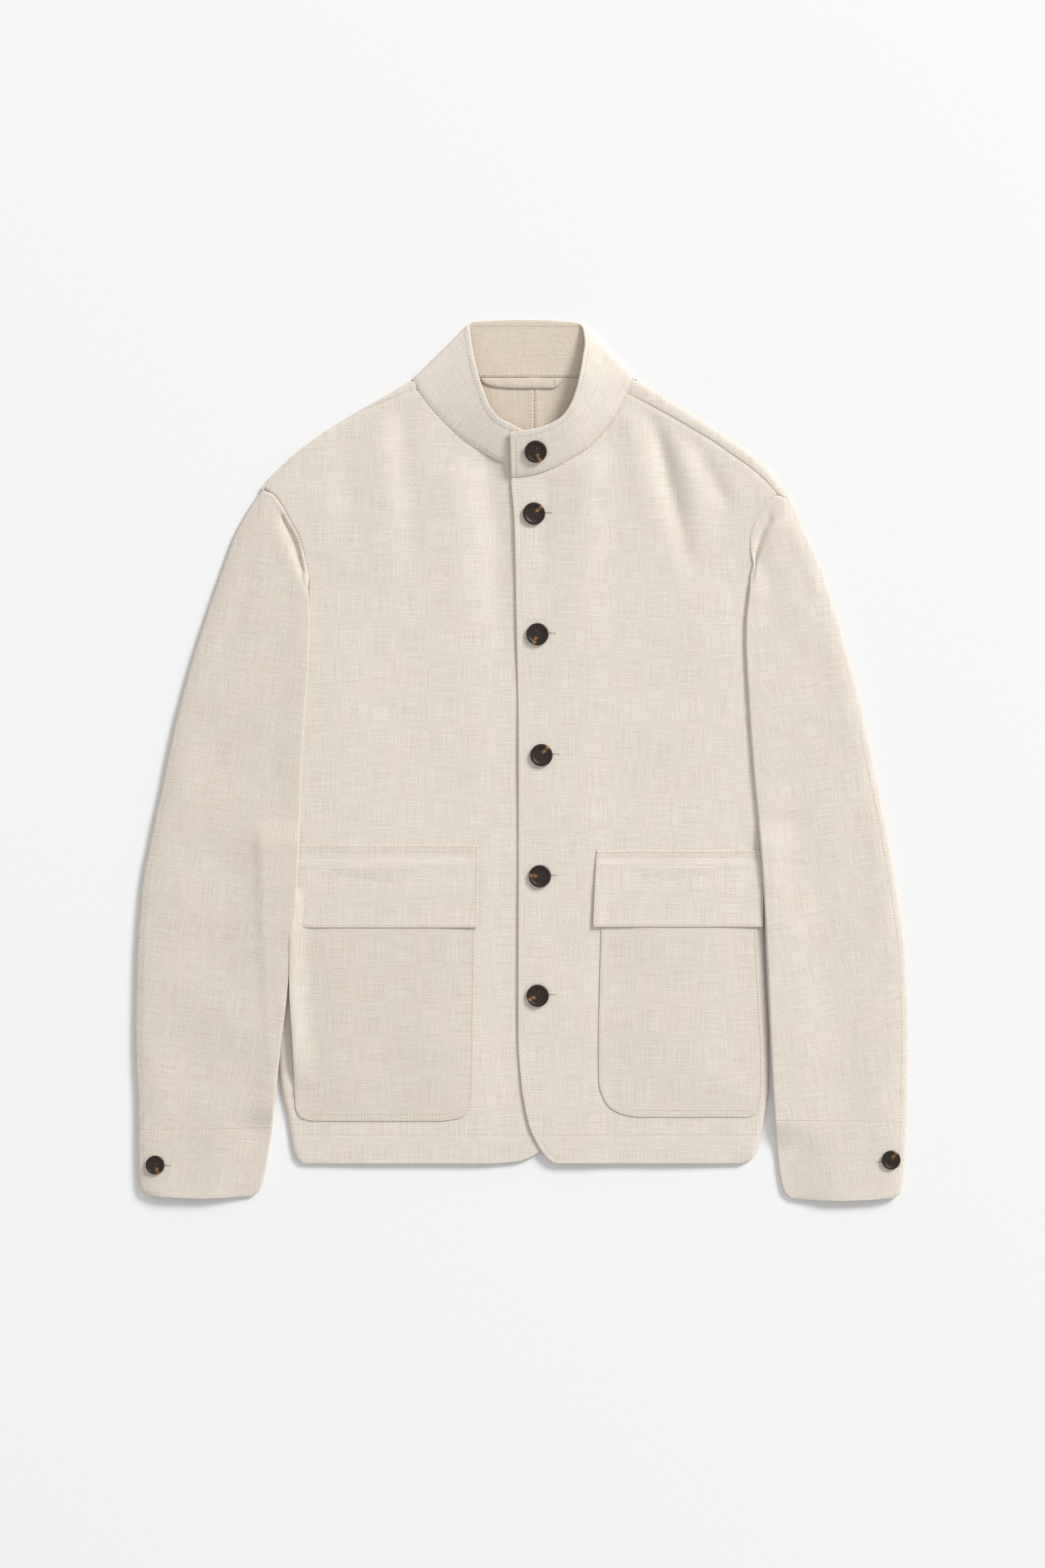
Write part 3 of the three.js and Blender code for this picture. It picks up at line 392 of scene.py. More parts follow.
def body_height(side, x, y):
    """Middle of a front as if it had no rounded edges."""
    edge_z = np.interp(y, side["outer"][:, 0], side["outer"][:, 2])
    inward = smooth((outer_x(side, y) - x) / SIDE_RISE)
    lapped = side["lap"] * smooth((64 + 22 * side["sign"] - x) / 30)
    crown = np.interp(y, CROWN[:, 0], CROWN[:, 1]) + crease_height(side, x, y)
    crown = crown + 0.35 * soft_waves(x, y, 11 + side["sign"], 95)
    return mix(edge_z, crown, inward) + lapped


def body_top(side, x, y):
    """The same with its roll down over the side and shoulder, and its dip at the seams."""
    turned = np.interp(y, side["outer"][:, 0], side["outer"][:, 3])
    height = body_height(side, x, y)
    over_side = mix(1, round_edge((outer_x(side, y) - HALF - x) / ROLL), turned)
    over_shoulder = round_edge((distance_to(side["shoulder"], x, y) - HALF) / ROLL)
    side_foot = HALF + 0.35
    shoulder_foot = (HALF + height) / 2
    rolled = side_foot + (height - side_foot) * over_side
    top = np.minimum(rolled, shoulder_foot + (height - shoulder_foot) * over_shoulder)
    return top - SEAM_DIP * bell(distance_to(seam_line(side), x, y), 1.5)


def back_floor(side, x, y):
    """Underside of the roll at the shoulder, where the back leaves the surface."""
    middle = (HALF + body_height(side, x, y)) / 2
    rolled = round_edge((distance_to(side["shoulder"], x, y) - HALF) / FLOOR_ROLL)
    return middle - (middle - FLOOR_LAYER) * rolled


def levels_between(low, high, curves, step):
    """Levels from low to high, close together where an outline runs across them."""
    fine = np.append(np.arange(low, high, 0.2), high)
    run = np.zeros(len(fine))
    for curve in curves:
        run = np.maximum(run, np.abs(np.diff(curve(fine), prepend=curve(fine[:1]))))
    travelled = np.cumsum(np.hypot(np.diff(fine, prepend=fine[0]), run))
    count = int(travelled[-1] / step)
    even = np.interp(np.linspace(0, travelled[-1], count + 1), travelled, fine)
    near_edge = [low + 0.5, low + 1.3, high - 0.6]
    return np.unique(np.concatenate([even, near_edge]))


EDGE_STEPS = np.array([0, 0.5, 1.2, 2.1, 3.4, 4.8, 6.0, 7.6])


def spread(start, end, count):
    """Places across each row from start to end, close together at both edges."""
    start, end = np.asarray(start, float), np.asarray(end, float)
    width = end - start
    scale = clamp(width / 40)
    near = EDGE_STEPS * scale[:, None]
    reach = near[:, -1]
    inside = np.linspace(0, 1, count)[1:-1]
    middle = reach[:, None] + (width - 2 * reach)[:, None] * inside
    return start[:, None] + np.concatenate([near, middle, width[:, None] - near[:, ::-1]], axis=1)


def edge_thinning(shape, closed=False):
    """Cloth is pressed thin at its very edge: shares of the wall for each grid point."""
    share = np.ones(shape)
    share[[0, -1]] = 0.5
    share[[1, -2]] = 0.9
    if not closed:
        share[:, [0, -1]] = 0.5
        share[:, [1, -2]] = np.minimum(share[:, [1, -2]], 0.9)
    return share


surfaces = {}


def shell(name, middle, wall, grain, seam, outside, closed=False):
    """Thin closed shell round a grid of points. outside is 1 or -1, the side of the grid that is
    the garment's right side. grain is the place on the cloth along weft and warp, and seam the
    distance from the nearest stitch line, all in millimetres."""
    rows, columns = middle.shape[:2]
    along = np.gradient(middle, axis=0)
    if closed:
        across = np.roll(middle, -1, axis=1) - np.roll(middle, 1, axis=1)
    else:
        across = np.gradient(middle, axis=1)
    normal = np.cross(along, across)
    normal = normal / np.maximum(np.linalg.norm(normal, axis=2, keepdims=True), 1e-9)
    reach = outside * normal * (wall * edge_thinning((rows, columns), closed))[..., None] / 2
    points = np.concatenate([(middle + reach).reshape(-1, 3), (middle - reach).reshape(-1, 3)])
    points[:, 2] = np.maximum(points[:, 2], LEAST_HEIGHT)
    count = rows * columns
    index = np.arange(count).reshape(rows, columns)
    after = np.roll(index, -1, axis=1) if closed else index[:, 1:]
    here = index if closed else index[:, :-1]
    top = np.stack([here[:-1], here[1:], after[1:], after[:-1]], axis=-1).reshape(-1, 4)
    faces = [top, top[:, ::-1] + count]
    for edge, inward in ((0, False), (-1, True)):
        wall_faces = np.stack([here[edge], after[edge], after[edge] + count, here[edge] + count], -1)
        faces.append(wall_faces[:, ::-1] if inward else wall_faces)
    if not closed:
        for edge, inward in ((0, True), (-1, False)):
            line = index[:, edge]
            wall_faces = np.stack([line[:-1], line[1:], line[1:] + count, line[:-1] + count], -1)
            faces.append(wall_faces[:, ::-1] if inward else wall_faces)
    faces = np.concatenate(faces)

    # The faces look outward when the volume that they enclose is positive
    corners = points[faces]
    volume = 0.0
    for k in (1, 2):
        volume += (corners[:, 0] * np.cross(corners[:, k], corners[:, k + 1])).sum()
    if volume < 0:
        faces = faces[:, ::-1]
    piece = make_mesh(name, points, faces.tolist())
    inner_side = np.repeat([0.0, 1.0], count)
    cloth_place = np.concatenate([grain.reshape(-1, 2)] * 2)
    put_attribute(piece, "grain", "FLOAT_VECTOR", np.column_stack([cloth_place, inner_side]))
    put_attribute(piece, "seam", "FLOAT", np.concatenate([seam.ravel()] * 2))
    surfaces[name] = BVHTree.FromPolygons(points.tolist(), faces.tolist())
    return piece


def laid_shell(side, name, x, y, z, wall, seam, outside, moved=(0, 0)):
    """Shell of a piece laid on one side of the body. moved is how far its grain is shifted."""
    world_x = side["sign"] * x
    grain = np.stack([world_x + moved[0], y + moved[1]], axis=-1)
    return shell(name, np.stack([world_x, y, z], axis=-1), wall, grain, seam, outside)


def make_mesh(name, points, faces):
    """Smooth mesh object from points in millimetres."""
    mesh = bpy.data.meshes.new(name)
    mesh.from_pydata((np.asarray(points) * MM).tolist(), [], faces)
    mesh.polygons.foreach_set("use_smooth", [True] * len(mesh.polygons))
    mesh.update()
    piece = bpy.data.objects.new(name, mesh)
    bpy.context.scene.collection.objects.link(piece)
    return piece


def put_attribute(piece, name, kind, values):
    field = "vector" if kind == "FLOAT_VECTOR" else "value"
    attribute = piece.data.attributes.new(name, kind, "POINT")
    attribute.data.foreach_set(field, np.asarray(values, np.float32).ravel())


def nearest_line(*distances):
    """Of several distances from stitch lines, the one nearest to zero at each point."""
    stack = np.stack(distances)
    pick = np.abs(stack).argmin(axis=0)
    return np.take_along_axis(stack, pick[None], axis=0)[0]


def front_edge(side):
    """Plan line of a front's free edge from its hem corner up to the neck."""
    top = side["inner"][side["neck_start"], 0]
    y = levels_between(side["inner"][0, 0], top, [lambda v: inner_x(side, v)], 2.5)
    return np.column_stack([inner_x(side, y), y])


def front_panel(side, name):
    low, high = side["inner"][0, 0], side["outer"][-1, 0]
    curves = [lambda y: inner_x(side, y), lambda y: outer_x(side, y)]
    y = levels_between(low, high, curves, GRID_STEP)
    turned = np.interp(y, side["outer"][:, 0], side["outer"][:, 3])
    x = spread(inner_x(side, y), outer_x(side, y) - mix(0.1, HALF, turned), FRONT_COLUMNS)
    y = np.repeat(y[:, None], x.shape[1], axis=1)
    from_edge = distance_to(front_edge(side)[::2], x, y)
    fullness = EDGE_FULLNESS * smooth((TOPSTITCH + 0.4 - from_edge) / 0.9)
    fullness = np.maximum(fullness, HEM_FULLNESS * smooth((HEM_Y - y) / 1.2))
    z = body_top(side, x, y) + fullness
    from_armhole = distance_to(seam_line(side)[: side["corner"]], x, y)
    seam = nearest_line(from_edge - TOPSTITCH, y - HEM_Y, from_armhole - EDGE_STITCH)
    return laid_shell(side, name, x, y, z, WALL, seam, -side["sign"])


def back_panel(side, name):
    centre = side["sign"] * BACK_SEAM_X + 0.1
    laid, turn, neck = side["back_outer"], side["back_top"], np.array(side["back_neck"])
    flat_y = np.append(np.arange(laid[0, 0], laid[-1, 0], 5.0), laid[-1, 0])
    flat_fold = curve_through(laid[:, 0], laid[:, 1], flat_y)
    turned_edge = [lambda v: np.interp(v, turn[:, 0], turn[:, 1])]
    turn_y = levels_between(turn[0, 0], turn[-1, 0], turned_edge, GRID_STEP)
    turn_x = curve_through(turn[:, 0], turn[:, 1:], turn_y)
    y = np.concatenate([flat_y, turn_y, neck[:, 0]])
    fold = np.concatenate([flat_fold - 2, turn_x[:, 0], neck[:, 1] - 2])
    end = np.concatenate([flat_fold, turn_x[:, 1], neck[:, 1]])
    lifted = np.repeat([0.0, 1.0, 0.0], [len(flat_y), len(turn_y), len(neck)])[:, None]

    # Across: the centre seam, the flat, the rise to the fold, and the turned part to its seam
    seam_steps = np.array([0, 0.6, 1.3, 2.2, 3.6, 6.0])
    near = np.repeat(seam_steps[None], len(y), axis=0)
    flat_width = (fold - TURN_START - centre - seam_steps[-1])[:, None]
    inside = seam_steps[-1] + flat_width * np.linspace(0, 1, BACK_COLUMNS)[1:-1]
    to_fold, past_fold = (fold - centre)[:, None], (end - fold)[:, None]
    rising = to_fold - TURN_START * (1 - np.sin(np.linspace(0, math.pi / 2, TURN_COLUMNS)))
    past = to_fold + past_fold * np.linspace(0, 1, TURN_COLUMNS)[1:] ** 1.4
    under = past[:, -1:] - TUCK * lifted
    past = np.concatenate([past, under + 0.01 * (1 - lifted)], axis=1)
    x = centre + np.concatenate([near, inside, rising, past], axis=1)
    y = np.repeat(y[:, None], x.shape[1], axis=1)
    y = y + HEM_RISE * bell(side["sign"] * x - 12, 30) * smooth((-300 - y) / 55)
    before = x.shape[1] - past.shape[1]
    z = np.full(x.shape, FLOOR_LAYER)
    z[:, :before] = mix(z[:, :before], back_floor(side, x[:, :before], y[:, :before]), lifted)
    z[:, before:] = mix(z[:, before:], body_top(side, x[:, before:], y[:, before:]), lifted)
    z[:, -1:] -= TUCK_DROP * lifted
    opening = smooth((y - 240) / 30)
    z[:, :before] += 0.5 * opening[:, :before] * bell(x[:, :before] - centre - 2.4, 2.0)
    wall = np.full(x.shape, WALL)
    wall[:, before - 6 :] = mix(WALL, 0.7, lifted)
    shoulder_seam = seam_line(side)[side["corner"] :]
    seam = nearest_line(x - centre - 1.0, distance_to(shoulder_seam, x, y) - 2.1)
    return laid_shell(side, name, x, y, z, wall, seam, side["sign"])


# Pockets and flaps: side, layer on the front, and y, x of the inner and of the outer edge
POCKETS = {
    "pocket_left": (LEFT, 1, [(-319.8, 106, 204), (-317.6, 92.4, 211), (-308.7, 77.0, 215.2),
        (-287.7, 69.6, 217.4), (-250, 69.4, 216.6), (-200, 70.4, 213.8), (-152, 71.6, 212.0),
        (-95, 72.4, 212.0)]),
    "pocket_right": (RIGHT, 1, [(-323.4, 72, 188), (-320.4, 54.4, 198.6), (-311, 45.2, 203.2),
        (-297.9, 43.2, 203.8), (-250, 42.6, 205.8), (-200, 41.9, 208.6), (-152, 41.3, 208.6),
        (-95, 40.9, 206.0)]),
    "flap_left": (LEFT, 2, [(-149.1, 64.6, 216.6), (-145, 64.4, 217.2), (-122, 65.4, 217.6),
        (-97, 66.6, 217.6), (-91, 66.9, 217.2), (-84, 67.2, 216.2), (-80.2, 67.5, 215.8)]),
    "flap_right": (RIGHT, 2, [(-149.7, 39.4, 203.2), (-146, 39.2, 203.8), (-122, 38.9, 206.0),
        (-97, 38.5, 206.0), (-91, 38.4, 206.0), (-80, 38.4, 205.2), (-75.4, 38.9, 204.8)]),
}
POCKET_TOP_Y = -95
FLAP_STEP = 8
FLAP_ROWS = (1.6, 6.0)  # the flaps' two rows of stitches, down from their top
POCKET_HEM = 6.2  # and the second row above a pocket's bottom
OPEN_EDGE = 5.5  # the wearer's right pocket stands open this far at its side


def pocket_outline(rows):
    """Plan lines of a pocket's or flap's inner and outer edge, as rows of y, inner and outer."""
    rows = np.array(rows, float)
    place = distance_along(rows[:, :2])
    even = np.linspace(0, place[-1], max(int(place[-1] / 2.6), 8))
    even = np.unique(np.concatenate([even, [0.5, 1.2, place[-1] - 1.2, place[-1] - 0.5]]))
    return curve_through(place, rows, even)


def pocket_piece(name):
    side, layer, rows = POCKETS[name]
    outline = pocket_outline(rows)
    x = spread(outline[:, 1], outline[:, 2], POCKET_COLUMNS)
    y = np.repeat(outline[:, :1], x.shape[1], axis=1)
    inner_edge, outer_edge = outline[:, [1, 0]], outline[:, [2, 0]]
    bottom = np.array([inner_edge[0], outer_edge[0]])
    top = np.array([inner_edge[-1], outer_edge[-1]])
    to_side = np.minimum(distance_to(inner_edge, x, y), distance_to(outer_edge, x, y))
    to_bottom = distance_to(bottom, x, y)
    to_edge = np.minimum(to_side, to_bottom)
    z = mix(body_top(side, x, y), body_height(side, x, y), 0.35 * layer) + LAYER
    if layer == 1:
        uneven = soft_waves(x, y, 5 + layer, 70) * smooth(to_edge / 30)
        z = z + POCKET_LOFT * smooth((to_edge - 1) / 45) + 0.3 * uneven
        if name == "pocket_right":
            open_share = smooth((y + 300) / 40) * smooth((-100 - y) / 30)
            z = z + OPEN_EDGE * bell(distance_to(outer_edge, x, y), 11) * open_share
        seam = to_edge - EDGE_STITCH
    else:
        below_band = smooth((POCKET_TOP_Y + FLAP_STEP - y) / (FLAP_STEP - 2))
        z = z + LAYER * below_band + 0.7 * smooth((-96 - y) / 22)
        z = z + 0.3 * bell(to_bottom, 9)
        to_top = distance_to(top, x, y)
        seam = nearest_line(to_edge - EDGE_STITCH, *[to_top - depth for depth in FLAP_ROWS])
    z = z + POCKET_EDGE_FULLNESS * smooth((EDGE_STITCH + 0.3 - to_edge) / 0.8)
    moved = (37 * layer, 61 * layer)
    return laid_shell(side, "linen_" + name, x, y, z, WALL, seam, -side["sign"], moved)


# What is sewn on the body under a sleeve's edge: its height at each level
SEWN_ON = np.array([(-345, 0), (-325, 1.8), (-166, 2.2), (-148, 3.0), (-75, 3.0), (-55, 0)])


def sleeve_floor(side, x, y, joined=0.0):
    edge = side["outer"][:, [1, 0]]
    outward = distance_to(edge, x, y) * np.sign(x - outer_x(side, y))
    lift = smooth((LEAN - outward) / LEAN_RISE) * (1 - joined)
    on_body = body_height(side, x, y) + 1.2 + np.interp(y, SEWN_ON[:, 0], SEWN_ON[:, 1])
    return mix(FLOOR_LAYER, on_body, lift)


# Rows between the armhole's edge and the first section of a sleeve
MOUTH_STEPS = (0.0, 0.33, 0.66)


def tucked(rows):
    """The row that a sleeve runs on to beneath the armhole's edge."""
    way = rows[0] - rows[3]
    way[:, 2] = 0
    at_shoulder = smooth((np.linspace(0, 1, len(way)) - 0.82) / 0.1)[:, None]
    way = way / np.linalg.norm(way, axis=1, keepdims=True)
    way = mix(way, np.array([-0.35, 0.94, 0]), at_shoulder)
    under = rows[0] + way * TUCK * (1 + 0.8 * at_shoulder)
    under[:, 2] = np.maximum(under[:, 2] - TUCK_DROP, FLOOR_LAYER)
    return under


def sleeve_sections(table):
    """Sections at even steps down a sleeve, with the place of each one in its table."""
    number = np.arange(len(table))
    fine = np.linspace(0, number[-1], 4000)
    dense = curve_through(number, table, fine)
    outer_run = np.linalg.norm(np.diff(dense[:, 2:4], axis=0), axis=1)
    inner_run = np.linalg.norm(np.diff(dense[:, :2], axis=0), axis=1)
    travelled = np.concatenate([[0], np.cumsum(np.maximum(outer_run, inner_run))])
    count = int(travelled[-1] / SLEEVE_STEP)
    order = np.interp(np.linspace(0, travelled[-1], count + 1), travelled, fine)
    order = np.unique(np.append(order, [number[-1] - 0.03, number[-1] - 0.09]))
    return order, curve_through(number, table, order)


def sleeve_grain(side, ring):
    """Places on a sleeve's cloth. Height counts across it, so that its edges aren't stretched."""
    hang = math.radians(SLEEVE_HANG)
    weft = ring[..., 0] * math.cos(hang) + ring[..., 1] * math.sin(hang) + ring[..., 2] + 23
    warp = ring[..., 1] * math.cos(hang) - ring[..., 0] * math.sin(hang) + 400
    return np.stack([side["sign"] * weft, warp], axis=-1)


def sleeve(side, name):
    even = np.linspace(0, 1, SLEEVE_COLUMNS)
    share = mix(even, (1 - np.cos(math.pi * even)) / 2, 0.8)
    order, section = sleeve_sections(side["sleeve"])
    order = order[:, None]

    # In plan, the first sections follow the armhole and the rest run straight across
    inner, outer = section[:, None, :2], section[:, None, 2:4]
    straight, rise = section[:, 4:5], section[:, 5:6]
    mouth = curve_through(np.linspace(0, 1, len(side["mouth"])), side["mouth"], share)
    chord = inner + (outer - inner) * share[None, :, None]
    bow = SLEEVE_HEM_BOW * smooth((order - len(side["sleeve"]) + 3) / 2)
    chord_y = chord[..., 1] - bow * np.sin(math.pi * share)
    up_x = mix(mouth[:, 0], chord[..., 0], straight)
    up_y = mix(mouth[:, 1], chord_y, straight)
    low_x = mix(mouth[:, 3], chord[..., 0], straight)
    low_y = mix(mouth[:, 4], chord_y, straight)

    # Heights: what it lies on, its top, and the rounds along both edges between them
    width = np.linalg.norm(outer - inner, axis=2)
    joined = smooth((share - 0.1) / 0.16) * (1 - smooth((order - 2) / 6))
    floor = sleeve_floor(side, low_x, low_y, joined)
    inner_top = sleeve_floor(side, section[:, 0], section[:, 1])[:, None] + SLEEVE_LOFT
    top = mix(inner_top, SLEEVE_HEIGHT, smooth(share * 2.2))
    cap = mix(mouth[:, 2] + 0.4, top, smooth(order / 9))
    top = np.maximum(mix(top, cap, smooth((share - 0.12) / 0.2)), floor + 2.4)
    in_middle = smooth(share * width / 30) * smooth((1 - share) * width / 30)
    top = top + 0.75 * soft_waves(up_x * 1.6, up_y, 21 + side["sign"], 120) * in_middle
    middle = (top + floor) / 2
    inner_roll = round_edge(share * width / FOLD_ROLL)
    edge = np.minimum(inner_roll, round_edge((1 - share) * width / SLEEVE_ROLL))
    risen = mix(rise, smooth(order / 3), smooth((share - 0.6) / 0.3))
    full = middle + (top - middle) * edge
    up_z = np.maximum(mix(mouth[:, 2], full, risen), middle)
    low_z = middle - (middle - floor) * edge
    up_z = up_z + crease_height(side, up_x, up_y, SLEEVE_CREASES)
    if side is LEFT:
        up_z = up_z - fold_drop(up_x, up_y) * smooth(order / 1.2)
    up_z = np.maximum(up_z, low_z + LEAST_LOFT * edge)
    hem = side["sleeve_hem"]
    up_z = up_z + SLEEVE_HEM_FULLNESS * smooth((hem - up_y) / 1.2)

    # Rings round the sleeve, out along its upper layer and back along its lower one
    upper = np.stack([up_x, up_y, up_z], axis=-1)
    lower = np.stack([low_x, low_y, low_z], axis=-1)
    start_up, start_low = mouth[:, :3], mouth[:, 3:]
    upper = np.concatenate([[mix(start_up, upper[0], part) for part in MOUTH_STEPS], upper])
    lower = np.concatenate([[mix(start_low, lower[0], part) for part in MOUTH_STEPS], lower])
    upper = np.concatenate([tucked(upper)[None], upper])
    lower = np.concatenate([tucked(lower)[None], lower])
    ring = np.concatenate([upper, lower[:, -2:0:-1]], axis=1)
    width = np.concatenate([width[:1]] * (len(MOUTH_STEPS) + 1) + [width])
    outer_gap = width * (1 - share)
    lower_half = smooth((40 - upper[..., 1]) / 10)
    outer_seam = mix(30, outer_gap - TOPSTITCH, lower_half)
    seam_up = nearest_line(outer_seam, upper[..., 1] - hem)
    seam_low = nearest_line(np.full(lower.shape[:2], 30.0), lower[..., 1] - hem)
    seam = np.concatenate([seam_up, seam_low[:, -2:0:-1]], axis=1)
    grain = sleeve_grain(side, ring)
    ring[..., 0] *= side["sign"]
    return shell(name, ring, WALL, grain, seam, side["sign"], closed=True)


# The stand collar from its under end round the back to its upper end: x, y and z of its neck
# seam, then of its free edge
COLLAR = np.array([
    (33.0, 267.4, 5.2, 32.6, 291.3, 15.5), (14.2, 260.6, 5.2, 14.2, 294.0, 19.0),
    (-1.6, 262.2, 5.4, 0.4, 297.4, 22.0), (-11.9, 266.3, 5.8, -8.6, 302.1, 23.0),
    (-28.4, 274.4, 6.0, -19.4, 307.5, 24.0), (-48.9, 286.6, 6.0, -28.4, 318.3, 24.0),
    (-63.0, 298.0, 5.8, -34.4, 333.3, 22.5), (-78.2, 313.5, 5.6, -39.8, 351.3, 19.5),
    (-87.8, 326.2, 5.6, -43.4, 367.5, 15.5), (-93.8, 335.4, 5.4, -45.6, 381.9, 10.5),
    (-97.0, 342.4, 3.6, -46.7, 392.4, 4.6), (-91.4, 345.0, 1.6, -42.8, 395.2, 1.2),
    (-76.4, 345.7, 1.0, -36.2, 395.8, 1.0), (-38, 345.9, 1.0, -18, 396.5, 1.0),
    (0, 345.9, 1.0, 1.6, 396.9, 1.0), (38, 345.9, 1.0, 21, 396.5, 1.0),
    (77.8, 345.7, 1.0, 40.6, 395.4, 1.0), (94.6, 345.0, 1.6, 49.0, 394.6, 1.2),
    (101.2, 343.4, 3.6, 53.8, 391.6, 4.6), (98.2, 336.9, 5.4, 56.2, 383.1, 10.0),
    (94.8, 329.4, 5.6, 56.8, 374.7, 14.0), (90.4, 320.3, 5.8, 55.6, 366.3, 17.5),
    (83.2, 307.9, 6.2, 53.2, 351.3, 21.5), (71.9, 293.3, 6.6, 49.3, 333.9, 24.5),
    (58.3, 280.2, 7.2, 44.2, 320.1, 26.5), (41.6, 270.0, 7.8, 36.4, 309.0, 27.5),
    (24.9, 262.0, 8.2, 24.4, 301.8, 28.0), (7.6, 257.0, 8.4, 7.6, 297.1, 28.0),
    (-9.2, 255.2, 8.4, -10.5, 294.7, 27.5),
])
# Row of the collar and the share of its height it keeps, sunk as it lies
COLLAR_SET = ((0, 0.54), (10, 0.54), (18, 0.76), (22, 0.74), (26, 0.57), (28, 0.55))
COLLAR_SEAT = -0.7
COLLAR_DIP = 0.9
COLLAR_BOW = 1.0


def collar_run():
    """Distance round the collar at each measured section."""
    return distance_along((COLLAR[:, :3] + COLLAR[:, 3:]) / 2)


def collar_points(run, share):
    """Points of the collar's middle at distances round it and shares of its height."""
    row = curve_through(collar_run(), COLLAR, run)
    set_rows, kept = np.transpose(COLLAR_SET)
    neck, free = row[..., :3], row[..., 3:].copy()
    free[..., 2] *= np.interp(run, collar_run()[set_rows.astype(int)], kept)
    height = np.linalg.norm(free - neck, axis=-1)
    t = mix(COLLAR_SEAT / height, 1, share)
    point = neck + (free - neck) * t[..., None]
    standing = smooth((free[..., 2] - 6) / 12)
    point[..., 2] += COLLAR_BOW * standing * np.sin(math.pi * clamp(t))
    point[..., 2] -= COLLAR_DIP * bell(t * height, 2.2) * smooth((neck[..., 2] - 2) / 3)
    return point, height


def collar(name):
    whole = collar_run()[-1]
    run = np.linspace(0, whole, COLLAR_ROWS)
    run = np.unique(np.concatenate([run, [0.5, 1.2, whole - 1.2, whole - 0.5]]))
    share = np.array([
        0, 0.01, 0.03, 0.06, 0.1, 0.16, 0.24, 0.33, 0.42, 0.51, 0.6, 0.69, 0.77, 0.84, 0.89,
        0.93, 0.96, 0.985, 1,
    ])
    run_grid, share_grid = np.meshgrid(run, share, indexing="ij")
    middle, height = collar_points(run_grid, share_grid)
    up = share_grid * height
    from_end = np.minimum(run_grid, whole - run_grid)
    fullness = COLLAR_FULLNESS * smooth((TOPSTITCH + 0.4 - (height - up)) / 0.9)
    seam = nearest_line(up - 1.6, height - up - TOPSTITCH, from_end - TOPSTITCH)
    grain = np.stack([run_grid, up + 15], axis=-1)
    return shell(name, middle, COLLAR_WALL + fullness, grain, seam, -1)


# The hanger loop along the neck seam: x, y of its free edge and of its sewn edge
LOOP_ROWS = np.array([
    (-36.4, 342.0, 344.6), (-31, 338.2, 344.6), (-22, 336.2, 344.6), (-6, 335.2, 344.6),
    (14, 334.9, 344.6), (28, 335.0, 344.6), (33, 337.4, 344.6), (36.4, 341.6, 344.6),
])


def hanger_loop(name):
    x = np.linspace(LOOP_ROWS[0, 0], LOOP_ROWS[-1, 0], LOOP_COLUMNS)
    rows = curve_through(LOOP_ROWS[:, 0], LOOP_ROWS[:, 1:], x)
    share = np.array([0, 0.06, 0.16, 0.3, 0.5, 0.7, 0.84, 0.94, 1])
    y = rows[:, :1] + (rows[:, 1:] - rows[:, :1]) * share
    x = np.repeat(x[:, None], len(share), axis=1)
    z = 2.0 + 0.5 * np.sin(math.pi * share) + 0.3 * bell(x, 25)
    seam = nearest_line(y - rows[:, :1] - 1.5, rows[:, 1:] - y - 1.5)
    middle = np.stack([x, y, z], axis=-1)
    grain = np.stack([x, y + 90], axis=-1)
    return shell(name, middle, LOOP_WALL, grain, seam, -1)


def srgb(code):
    """Linear colour from an sRGB hex value."""
    parts = [int(code[i : i + 2], 16) / 255 for i in (0, 2, 4)]
    linear = [c / 12.92 if c <= 0.04045 else ((c + 0.055) / 1.055) ** 2.4 for c in parts]
    return (*linear, 1.0)


def add(tree, kind, inputs=(), **settings):
    """Adds a node. An input, by name or number, takes a value, a socket or a node's result."""
    made = tree.nodes.new(kind)
    for name, value in settings.items():
        setattr(made, name, value)
    for key, value in dict(inputs).items():
        if isinstance(value, bpy.types.Node):
            value = next(output for output in value.outputs if output.enabled)
        if isinstance(value, bpy.types.NodeSocket):
            tree.links.new(value, made.inputs[key])
        else:
            made.inputs[key].default_value = value
    return made


def new_material(name):
    material = bpy.data.materials.new(name)
    material.use_nodes = True
    material.node_tree.nodes.clear()
    return material, material.node_tree


# Noise of the linen: how fine it is along weft, warp and side, in waves a millimetre, and detail
LINEN_NOISE = {
    "warp": ((1.3, 0.032, 9.0), 2.0),
    "weft": ((0.036, 1.3, 7.0), 2.0),
    "warp_fine": ((2.6, 0.3, 3.0), 1.0),
    "weft_fine": ((0.3, 2.6, 5.0), 1.0),
    "cloud": ((0.022, 0.022, 1.0), 3.0),
    "patch": ((0.06, 0.075, 2.0), 2.0),
}
THREAD_WAVE = 2 * math.pi / 1.1  # threads drawn 1.1 mm apart


